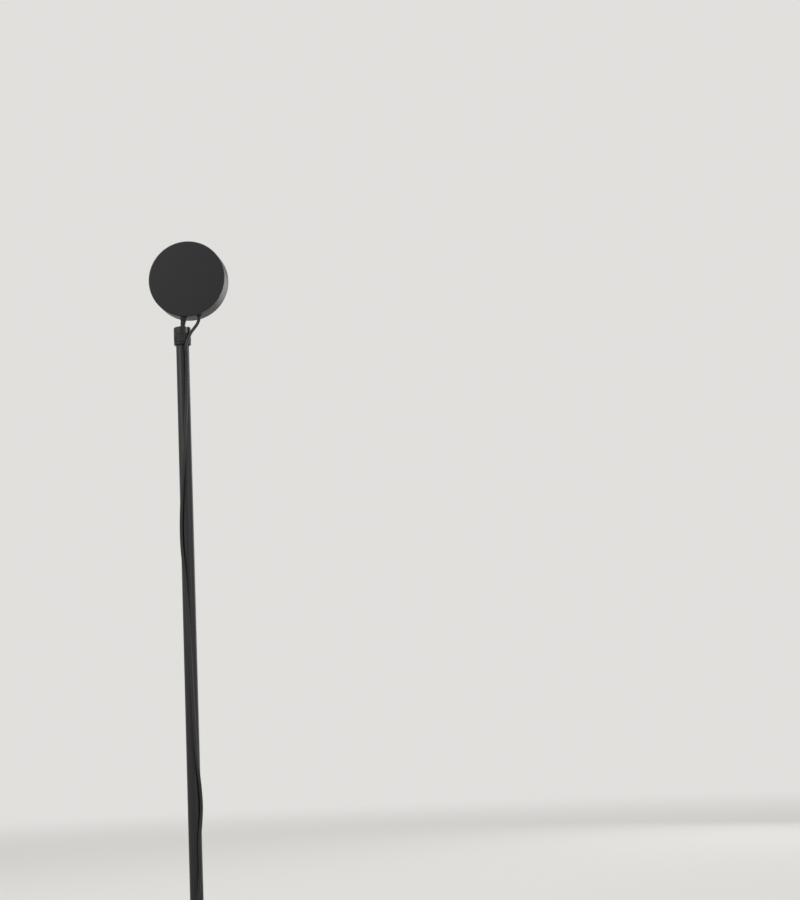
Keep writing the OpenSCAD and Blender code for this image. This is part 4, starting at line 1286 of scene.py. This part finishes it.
def make_socket():
    """Cup that grips the ball: a rounded rim, a flared mouth and two slits with bare walls."""
    joint = joint_mm()
    outer, bore = joint.socket_diameter / 2, joint.ball_diameter / 2 + 0.05
    rim, drop, shank, low = 3.6, 4.2, outer - 1, -12
    mouth, flare, lip, depth = 5.17, 1.08, 0.45, 7.2
    rise = math.degrees(math.acos(mouth / bore))
    corners = [(mouth, rim - lip, 0), (mouth + flare, rim, 0.12), (outer, rim, 1), (outer, -drop, 0.2)]
    corners += [(shank, -drop, 0), (shank, low, 0), (3, low, 0), (3, -8.6, 0), (bore + 0.5, -8.6, 0)]
    section = [*eased(corners, 5), (bore + 0.5, -0.6)] + arc((0, 0), bore, -6, rise, 8)
    socket = lathe("ball_socket", section, socket_frame(), segments=128)
    half = joint.slit_width / 2
    turned = socket_frame() @ Matrix.Rotation(bpy.context.scene.lamp_joint.slit_turn, 4, "Z")
    slits = []
    for turn in (-90, 90):
        place = turned @ Matrix.Rotation(math.radians(turn), 4, "Z")
        slits.append(box_tool("slit", (bore - 2, -half, rim - depth), (outer + 2, half, rim + 2), place))
    cut(socket, *slits)
    softened(socket, 0.12)
    finished(socket, satin_coat(), "root", ["socket"])
    socket.data.materials.append(milled_steel())
    across = turned.to_3x3() @ Vector((1, 0, 0))
    for face in socket.data.polygons:
        from_middle = abs((face.center - BALL_CENTRE).dot(across)) / MM
        if abs(from_middle - half) < 0.02 and abs(face.normal.dot(across)) > 0.95:
            face.material_index = 1
    return socket


def make_lock_ring():
    """Lock ring under the socket: a band of ribs between two smooth rims."""
    outer, high, low = joint_mm().socket_diameter / 2, -4.3, -11.9
    bore, valley, rim = outer - 0.95, outer - 0.28, 0.55
    corners = [(bore, low, 0), (outer, low, 0.2), (outer, low + rim, 0.08)]
    corners += [(valley, low + rim + 0.15, 0), (valley, high - rim - 0.15, 0)]
    corners += [(outer, high - rim, 0.08), (outer, high, 0.2), (bore, high, 0)]
    ring = lathe("lock_ring_knurled", eased(corners, 2), segments=128)
    sizes = {
        "Ribs": bpy.context.scene.lamp_joint.knurls,
        "Radius": (valley - 0.12) * MM,
        "Low": (low + rim) * MM,
        "Length": (high - low - 2 * rim) * MM,
        "Width": 0.8 * MM,
    }
    grown(ring, ribs_round_tree(), sizes, worn_oxide(), socket_frame())
    return finished(ring, worn_oxide(), "lock_ring", ["lock_ring"])


def make_collar():
    """Chamfered collar between the lock ring and the pole."""
    outer, high, low, chamfer = joint_mm().socket_diameter / 2, -12, -15.3, 0.7
    corners = [(0, high, 0), (outer - chamfer, high, 0), (outer, high - chamfer, 0.12)]
    corners += [(outer, low + chamfer, 0.12), (outer - chamfer, low, 0.12), (0, low, 0)]
    collar = lathe("pole_top_collar", eased(corners, 3), socket_frame(), segments=96)
    return finished(collar, satin_coat(), "root", ["pole_collar"])


# ---------------------------------------------------------------- pieces of the stand


def make_pole():
    """Straight tube between the base and the collar."""
    radius, wall = stand_mm().pole_diameter / 2, 1.1
    low, high = (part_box("pole")[k].z / MM for k in (0, 1))
    corners = [(radius - wall, low, 0), (radius, low, 0), (radius, high, 0.2), (radius - wall, high, 0)]
    pole = lathe("stand_pole", eased(corners, 3), segments=64)
    return finished(pole, satin_coat(), "root", ["pole"])


def make_foot_ring():
    """Ring round the pole's foot, with a fine groove and a rounded top."""
    stand = stand_mm()
    outer, bore = stand.foot_ring_diameter / 2, stand.pole_diameter / 2 + 0.02
    low, high, groove = stand.base_height, stand.base_height + 6, 0.25
    corners = [(bore, low, 0), (outer, low, 0.15), (outer, low + 1.5, 0.1)]
    corners += [(outer - groove, low + 1.6, 0), (outer - groove, low + 1.9, 0)]
    corners += [(outer, low + 2, 0.1), (outer, high, 1.5), (bore, high, 0.25)]
    ring = lathe("pole_foot_ring", eased(corners, 6), segments=96)
    return finished(ring, satin_coat(), "root", ["pole_ferrule"])


def make_base():
    """Spun cover of the base, with a rounded top edge and a rolled rim."""
    stand = stand_mm()
    outer, top, edge = stand.base_diameter / 2, stand.base_height, stand.base_edge
    wall, low, bolt_hole = 1.2, 1, 4.3
    corners = [(bolt_hole, top, 0), (outer, top, edge), (outer, low, 0.55), (outer - wall, low, 0.55)]
    corners += [(outer - wall, top - wall, edge - wall), (bolt_hole, top - wall, 0)]
    base = lathe("base_disc", eased(corners, 10), segments=192)
    return finished(base, textured_coat(), "root", ["base_cover"])


def make_pad():
    """Foam ring under the base."""
    outer, bore, high = stand_mm().base_diameter / 2 - 5, 11, 2
    corners = [(bore, 0, 0.3), (outer, 0, 0.5), (outer, high, 0.2), (bore, high, 0.2)]
    pad = lathe("foot_pad", eased(corners, 3), segments=144)
    return finished(pad, foam_pad(), "root", ["base_pad"])


# ---------------------------------------------------------------- switch and plug


def make_sleeve(name, length, start_radius, tip_radius, place):
    """Tapered bend relief along +X, with rings round it."""
    corners = [(0, 0, 0), (start_radius - 0.35, 0, 0), (tip_radius - 0.1, length, 0.25), (0, length, 0)]
    sleeve = lathe(name, eased(corners, 3), Matrix.Rotation(math.radians(90), 4, "Y"), segments=40)
    rings, margin = 6, 0.08 * length
    sizes = {
        "Rings": rings,
        "Start": margin * MM,
        "Pitch": (length - 2 * margin) / (rings - 1) * MM,
        "First Radius": (start_radius - 0.62) * MM,
        "Last Radius": (tip_radius - 0.4) * MM,
        "Thickness": 1.1 * MM,
    }
    lift = place @ Matrix.Translation((0, 0, ENTRY_HEIGHT * MM))
    return grown(sleeve, rings_along_tree(), sizes, soft_rubber(), lift)


def make_switch():
    """Inline switch: two shells, a button, and a sleeve at each end."""
    place = table_frame(*SWITCH_PLACE)
    make_switch_shells(place)
    make_button(place)
    end = Matrix.Translation((bpy.context.scene.lamp_cord.switch_length / 2, 0, 0))
    for name, turn, nodes in (("out", 0, ["switch_reliefs"]), ("in", 180, [])):
        side = place @ Matrix.Rotation(math.radians(turn), 4, "Z") @ end
        sleeve = make_sleeve(f"switch_sleeve_{name}", SWITCH_SLEEVE, 3.2, 2.15, side)
        finished(sleeve, soft_rubber(), "root", nodes)


def make_switch_shells(place):
    """The switch's shells with a seam between them; the upper one has a dish and the button's well."""
    sizes = cord_mm()
    length, width, height = sizes.switch_length, sizes.switch_width, sizes.switch_height
    corner, seam = 5, 5
    levels = [(0, 1.0), (0.2, 0.45), (0.7, 0.05), (1.2, 0), (seam - 0.3, 0), (seam - 0.05, 0.25)]
    lower = loft("switch_lower_shell", levels, length, width, corner, place)
    finished(lower, moulded_plastic(), "root", ["switch_bottom"])

    levels = [(seam + 0.05, 0.25), (seam + 0.3, 0), (height - 2, 0), (height - 1.2, 0.12)]
    levels += [(height - 0.6, 0.45), (height - 0.2, 0.95), (height, 1.7)]
    upper = loft("switch_upper_shell", levels, length, width, corner, place)
    dish_radius, dish_depth = 60, 0.45
    rim = math.degrees(math.acos(1 - dish_depth / dish_radius))
    bowl = arc((0, height - dish_depth + dish_radius), dish_radius, -90, -90 + rim + 1, 10)
    bowl += [(0, bowl[-1][1])]
    hole, floor = sizes.button_diameter / 2 + 0.2, height - 4.5
    well = [(0, floor), (hole, floor), (hole, height + 2), (0, height + 2)]
    cut(upper, lathe("dish", bowl, place), lathe("button well", well, place))
    finished(upper, moulded_plastic(), "root", ["switch_top"])


def make_button(place):
    """Button with a hollow in its top, a raised ring round the hollow and a rounded edge."""
    sizes = cord_mm()
    radius, edge = sizes.button_diameter / 2, 0.45
    top, low = sizes.switch_height + 1.4, sizes.switch_height - 3
    hollow, hollow_radius, hollow_depth = radius - 0.9, 12, 0.35
    span = math.degrees(math.asin(hollow / hollow_radius))
    section = arc((0, top - hollow_depth + hollow_radius), hollow_radius, -90, -90 + span, 6)
    ring = [(hollow, section[-1][1], 0), (radius - 0.55, top, 0.3), (radius, top, edge)]
    section += eased(ring, 4)[1:-1]
    section += arc((radius - edge, top - edge), edge, 90, 0, 4)
    section += [(radius, low), (0, low)]
    knob = lathe("switch_push_button", section, place, segments=64)
    finished(knob, button_plastic(), "switch_button", ["switch_button"])


def make_plug():
    """Plug: a waisted grip with ridges, a ringed sleeve, and a steel shell with four windows."""
    sizes = cord_mm()
    length, width, height = sizes.grip_length, sizes.grip_width, sizes.grip_height
    place = table_frame(*PLUG_PLACE)
    middle = Matrix.Translation((0, 0, height / 2 * MM))
    levels = [(0, 1.5), (0.25, 0.85), (0.8, 0.4), (1.8, 0.1), (3, 0), (6, 0.05), (9, 0.4), (12, 0.6)]
    levels += [(16, 0.6), (19, 0.4), (22, 0.05), (length - 1, 0), (length - 0.35, 0.15), (length, 0.6)]
    shifted = [(PLUG_SLEEVE + x, inset) for x, inset in levels]
    grip = loft("plug_grip_body", shifted, width, height, 2.4, along_x=True)
    ridges = {
        "Ridges": 6,
        "Start": (PLUG_SLEEVE + 8.4) * MM,
        "Pitch": 2.3 * MM,
        "Width": (width - 6) * MM,
        "Height": (height / 2 - 0.7) * MM,
    }
    grown(grip, ridges_tree(), ridges, moulded_plastic(), place @ middle)
    finished(grip, moulded_plastic(), "root", ["plug_grip"])

    back = place @ Matrix.Translation((PLUG_SLEEVE * MM, 0, 0)) @ Matrix.Rotation(math.pi, 4, "Z")
    sleeve = make_sleeve("plug_sleeve", PLUG_SLEEVE, 3.2, 2.15, back)
    finished(sleeve, soft_rubber(), "root")
    make_plug_shell(place, PLUG_SLEEVE + length)


def make_plug_shell(place, start):
    """Thin steel shell of the plug, open at its mouth, with windows above and below."""
    shell_w, shell_h, sheet, inside, out = 12, 4.5, 0.3, 2, 12.5
    lift = place @ Matrix.Translation((0, 0, ENTRY_HEIGHT * MM))
    back, mouth = start - inside, start + out
    rows = [(back, 0), (mouth - 0.2, 0), (mouth, 0.12), (mouth, 0.22), (mouth - 0.2, sheet), (back, sheet)]
    rings = []
    for x, inset in rows:
        outline = rounded_outline(shell_w - 2 * inset, shell_h - 2 * inset, 0.75 - inset)
        rings.append([(x * MM, y * MM, z * MM) for y, z in outline])
    stations = distances([(x * MM, inset * MM) for x, inset in [*rows, rows[0]]])
    shell = skin("plug_steel_shell", rings, stations, joined=True, place=lift)
    near, side = start + out / 2, 2.4
    windows = []
    for y in (-3.6, 1.2):
        low, high = (near, y, -shell_h), (near + side, y + side, shell_h)
        windows.append(box_tool("window", low, high, lift))
    cut(shell, *windows)
    finished(shell, nickel_plate(), "root", ["plug_shell"])


# ---------------------------------------------------------------- cord


def make_cord():
    """The cord in four runs: one round the joint, one down the pole, one to the switch and one to the
    plug.
    """
    sizes = bpy.context.scene.lamp_cord
    radius = sizes.diameter / 2
    jumper, drop, lead = cord_routes()
    split = next(i for i, point in enumerate(drop) if point.z <= FREE_HEIGHT)
    runs = {
        "cord_at_joint": jumper,
        "cord_on_pole": drop[: split + 1],
        "cord_to_switch": drop[split:],
        "cord_to_plug": lead,
    }
    made = {name: tube(name, path, radius, sizes.sides) for name, path in runs.items()}
    nodes = {
        "cord_at_joint": ["cord_jumper"],
        "cord_on_pole": ["cord_drop"],
        "cord_to_switch": ["cord_coil", "cord_tail"],
        "cord_to_plug": ["cord_end"],
    }
    for name, piece in made.items():
        body = "root" if name in ("cord_to_switch", "cord_to_plug") else None
        finished(piece, cord_jacket(), body, nodes[name], smooth=80)
    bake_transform(made["cord_at_joint"])
    top = Vector((0, 0, drop[0].z))
    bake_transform(made["cord_on_pole"])

    switch_parts = ["switch_sleeve_in", "switch_lower_shell", "switch_upper_shell"]
    switch_parts += ["switch_push_button", "switch_board", "switch_screws"]
    plug_parts = ["switch_sleeve_out", "plug_sleeve", "plug_grip_body"]
    plug_parts += ["plug_steel_shell", "plug_tongue", "plug_contacts"]
    facts = {
        "cord_at_joint": ("object", "loose", ["cord_exit_grommet"]),
        "cord_on_pole": ("object", "hanging", []),
        "cord_to_switch": ("fitting", "coiled", switch_parts),
        "cord_to_plug": ("plug", "loose", plug_parts),
    }
    for name, (far_end, lay, parts) in facts.items():
        run_length(runs[name])
        sizes.diameter
        [bpy.data.objects[part] for part in parts]


# ---------------------------------------------------------------- carried-over nodes

CARRIED = {
    soft_rubber: ["lens_gasket", "lens_tube"],
    zinc_plate: [
        "filter_clip", "board_screws", "cord_crimp", "stem_nut", "spring_washer", "tube_insert",
        "base_bolt", "base_washer", "switch_screws",
    ],
    bright_aluminium: ["reflector", "heat_spreader"],
    white_plastic: ["led_board", "ball_liner", "plug_tongue"],
    phosphor: ["led_chip"],
    green_board: ["driver_board", "switch_board"],
    moulded_plastic: ["inner_lead"],
    worn_oxide: ["collar_screw"],
    cast_iron: ["base_weight"],
    gold_plate: ["plug_contacts"],
}


def finish_carried():
    """Gives their finish to the nodes that are shown as they were drawn."""
    for make, nodes in CARRIED.items():
        for node in nodes:
            piece = frame["nodes"][node]
            piece.data.materials.clear()
            piece.data.materials.append(make())


# ---------------------------------------------------------------- studio

CAMERA_PLACE = (0.4072, -1.8559, 0.2383)
CAMERA_YAW, CAMERA_PITCH, CAMERA_ROLL = -5.641, 8.324, -2.450  # degrees
CAMERA_LENS = 73.5  # millimetres, on a 36 mm sensor along the picture's longer side
BACKDROP_STRENGTH = 0.94  # how bright the backdrop looks
AMBIENT_STRENGTH = 0.42  # how much light the surroundings give


def make_camera():
    """Camera behind the lamp and below its head, as in the photograph."""
    yaw, pitch, roll = (math.radians(a) for a in (CAMERA_YAW, CAMERA_PITCH, CAMERA_ROLL))
    ahead = Vector((math.sin(yaw) * math.cos(pitch), math.cos(yaw) * math.cos(pitch), math.sin(pitch)))
    level = Vector((math.cos(yaw), -math.sin(yaw), 0))
    upright = level.cross(ahead)
    right = level * math.cos(roll) + upright * math.sin(roll)
    up = upright * math.cos(roll) - level * math.sin(roll)
    turn = Matrix((right, up, -ahead)).transposed().to_4x4()
    data = bpy.data.cameras.new("studio_camera")
    data.lens = CAMERA_LENS
    data.sensor_width = 36.0
    data.clip_start, data.clip_end = 0.05, 60.0
    camera = bpy.data.objects.new("studio_camera", data)
    camera.matrix_world = Matrix.Translation(CAMERA_PLACE) @ turn
    bpy.context.scene.collection.objects.link(camera)
    bpy.context.scene.camera = camera


def seen_directly(sheet):
    """1 for what the camera sees, also in metal and through glass."""
    kinds = ("Camera", "Glossy", "Transmission")
    path = [sheet.add("ShaderNodeLightPath", output=f"Is {kind} Ray") for kind in kinds]
    total = path[0] + path[1] + path[2]
    return total.math("MINIMUM", total, 1.0)


def make_world(colour):
    """Even pale surroundings, dimmer as a light than as a background."""
    world = bpy.data.worlds.new("studio_world")
    world.use_nodes = True
    sheet = Sheet(world.node_tree)
    world.node_tree.nodes.clear()
    strength = AMBIENT_STRENGTH + (BACKDROP_STRENGTH - AMBIENT_STRENGTH) * seen_directly(sheet)
    light = sheet.add("ShaderNodeBackground", None, {"Color": colour, "Strength": strength})
    sheet.add("ShaderNodeOutputWorld", None, {"Surface": light})
    bpy.context.scene.world = world


def make_floor(colour):
    """Round pale floor that keeps the shadow near the lamp and fades into the backdrop far off."""
    work = bmesh.new()
    bmesh.ops.create_circle(work, cap_ends=True, cap_tris=True, segments=96, radius=14)
    mesh = bpy.data.meshes.new("studio_floor")
    work.to_mesh(mesh)
    work.free()
    floor = bpy.data.objects.new("studio_floor", mesh)
    bpy.context.scene.collection.objects.link(floor)
    paint = Finish("studio_paper")
    point = paint.place()
    far = paint.step(paint.off_axis(point), 1.1, 3.6)
    fibre = paint.noise(point, 0.02, detail=4.0)
    tone = paint.mix(fibre, shade(colour, 0.985), shade(colour, 1.0))
    paper = paint.add("ShaderNodeBsdfDiffuse", None, {"Color": tone, "Roughness": 0.6})
    glow = paint.add("ShaderNodeEmission", None, {"Color": colour, "Strength": BACKDROP_STRENGTH})
    blend = paint.add("ShaderNodeMixShader", None, {0: far * seen_directly(paint), 1: paper, 2: glow})
    paint.add("ShaderNodeOutputMaterial", None, {"Surface": blend})
    mesh.materials.append(paint.material)


# Softboxes: where each stands, where it aims, its side in metres and its power in watts
LAMPS = {
    "key_softbox": ((-1.6, -1.5, 1.9), (0, 0, 0.45), 1.3, 22),
    "fill_softbox": ((1.9, -1.2, 1.1), (0, 0, 0.35), 1.5, 9),
    "rim_softbox": ((1.0, 1.8, 0.8), (0, 0, 0.6), 1.0, 6.5),
    "top_softbox": ((0.1, 0.4, 2.6), (0.1, 0.4, 0), 2.0, 30),
}


def make_lamps():
    """Square softboxes round the lamp, outside the picture."""
    for name, (place, aim, size, power) in LAMPS.items():
        data = bpy.data.lights.new(name, "AREA")
        data.shape = "SQUARE"
        data.size = size
        data.energy = power
        lamp = bpy.data.objects.new(name, data)
        lamp.location = place
        lamp.rotation_euler = (Vector(aim) - Vector(place)).to_track_quat("-Z", "Y").to_euler()
        bpy.context.scene.collection.objects.link(lamp)


# ---------------------------------------------------------------- operators


class LAMP_OT_camera(bpy.types.Operator):
    """Set up the camera at the photograph's angle"""

    bl_idname = "lamp.camera"
    bl_label = "Camera"

    def execute(self, context):
        make_camera()
        return {"FINISHED"}


class LAMP_OT_cord(bpy.types.Operator):
    """Lay the cord with its grommet, switch and plug"""

    bl_idname = "lamp.cord"
    bl_label = "Cord, Switch and Plug"

    def execute(self, context):
        make_grommet()
        make_switch()
        make_plug()
        make_cord()
        return {"FINISHED"}


class LAMP_OT_head(bpy.types.Operator):
    """Turn the housing with its boss, and the front bezel"""

    bl_idname = "lamp.head"
    bl_label = "Head"

    def execute(self, context):
        make_housing()
        make_boss()
        make_bezel()
        return {"FINISHED"}


class LAMP_OT_optics(bpy.types.Operator):
    """Fit the lens and the sunset filter"""

    bl_idname = "lamp.optics"
    bl_label = "Lens and Filter"

    def execute(self, context):
        make_lens()
        make_filter()
        return {"FINISHED"}


class LAMP_OT_joint(bpy.types.Operator):
    """Build the ball joint with its lock ring and collar"""

    bl_idname = "lamp.joint"
    bl_label = "Ball Joint"

    def execute(self, context):
        make_stem()
        make_ball()
        make_socket()
        make_lock_ring()
        make_collar()
        return {"FINISHED"}


class LAMP_OT_stand(bpy.types.Operator):
    """Set up the pole on its base"""

    bl_idname = "lamp.stand"
    bl_label = "Pole and Base"

    def execute(self, context):
        make_pole()
        make_foot_ring()
        make_base()
        make_pad()
        return {"FINISHED"}


class LAMP_OT_carried(bpy.types.Operator):
    """Finish the inner parts that are shown as they were drawn"""

    bl_idname = "lamp.carried"
    bl_label = "Inner Parts"

    def execute(self, context):
        finish_carried()
        return {"FINISHED"}


class LAMP_OT_stage(bpy.types.Operator):
    """Light the studio and lay its floor"""

    bl_idname = "lamp.stage"
    bl_label = "Studio"

    def execute(self, context):
        scene = context.scene
        scene.view_settings.view_transform = "Standard"
        colour = tuple(scene.lamp_colours.floor)
        make_world(colour)
        make_floor(colour)
        make_lamps()
        return {"FINISHED"}


OPERATORS = (
    LAMP_OT_camera,
    LAMP_OT_cord,
    LAMP_OT_head,
    LAMP_OT_optics,
    LAMP_OT_joint,
    LAMP_OT_stand,
    LAMP_OT_carried,
    LAMP_OT_stage,
)


class LAMP_PT_panel(bpy.types.Panel):
    """Sizes, colours and steps of the lamp"""

    bl_idname = "LAMP_PT_panel"
    bl_label = "Sunset Projection Lamp"
    bl_space_type = "VIEW_3D"
    bl_region_type = "UI"
    bl_category = "Sunset Lamp"

    def draw(self, context):
        for attribute, group in GROUPS.items():
            box = self.layout.box()
            box.label(text=group.__doc__)
            for size in group.__annotations__:
                box.prop(getattr(context.scene, attribute), size)
        for operator in OPERATORS:
            self.layout.operator(operator.bl_idname)


def register():
    for part in (*GROUPS.values(), *OPERATORS, LAMP_PT_panel):
        bpy.utils.register_class(part)
    for attribute, group in GROUPS.items():
        setattr(bpy.types.Scene, attribute, bpy.props.PointerProperty(type=group))


def unregister():
    for attribute in GROUPS:
        delattr(bpy.types.Scene, attribute)
    for part in (LAMP_PT_panel, *reversed(OPERATORS), *reversed(GROUPS.values())):
        bpy.utils.unregister_class(part)


def main():
    register()
    for operator in OPERATORS:
        group, name = operator.bl_idname.split(".")
        getattr(getattr(bpy.ops, group), name)()


if __name__ == "__main__":
    main()
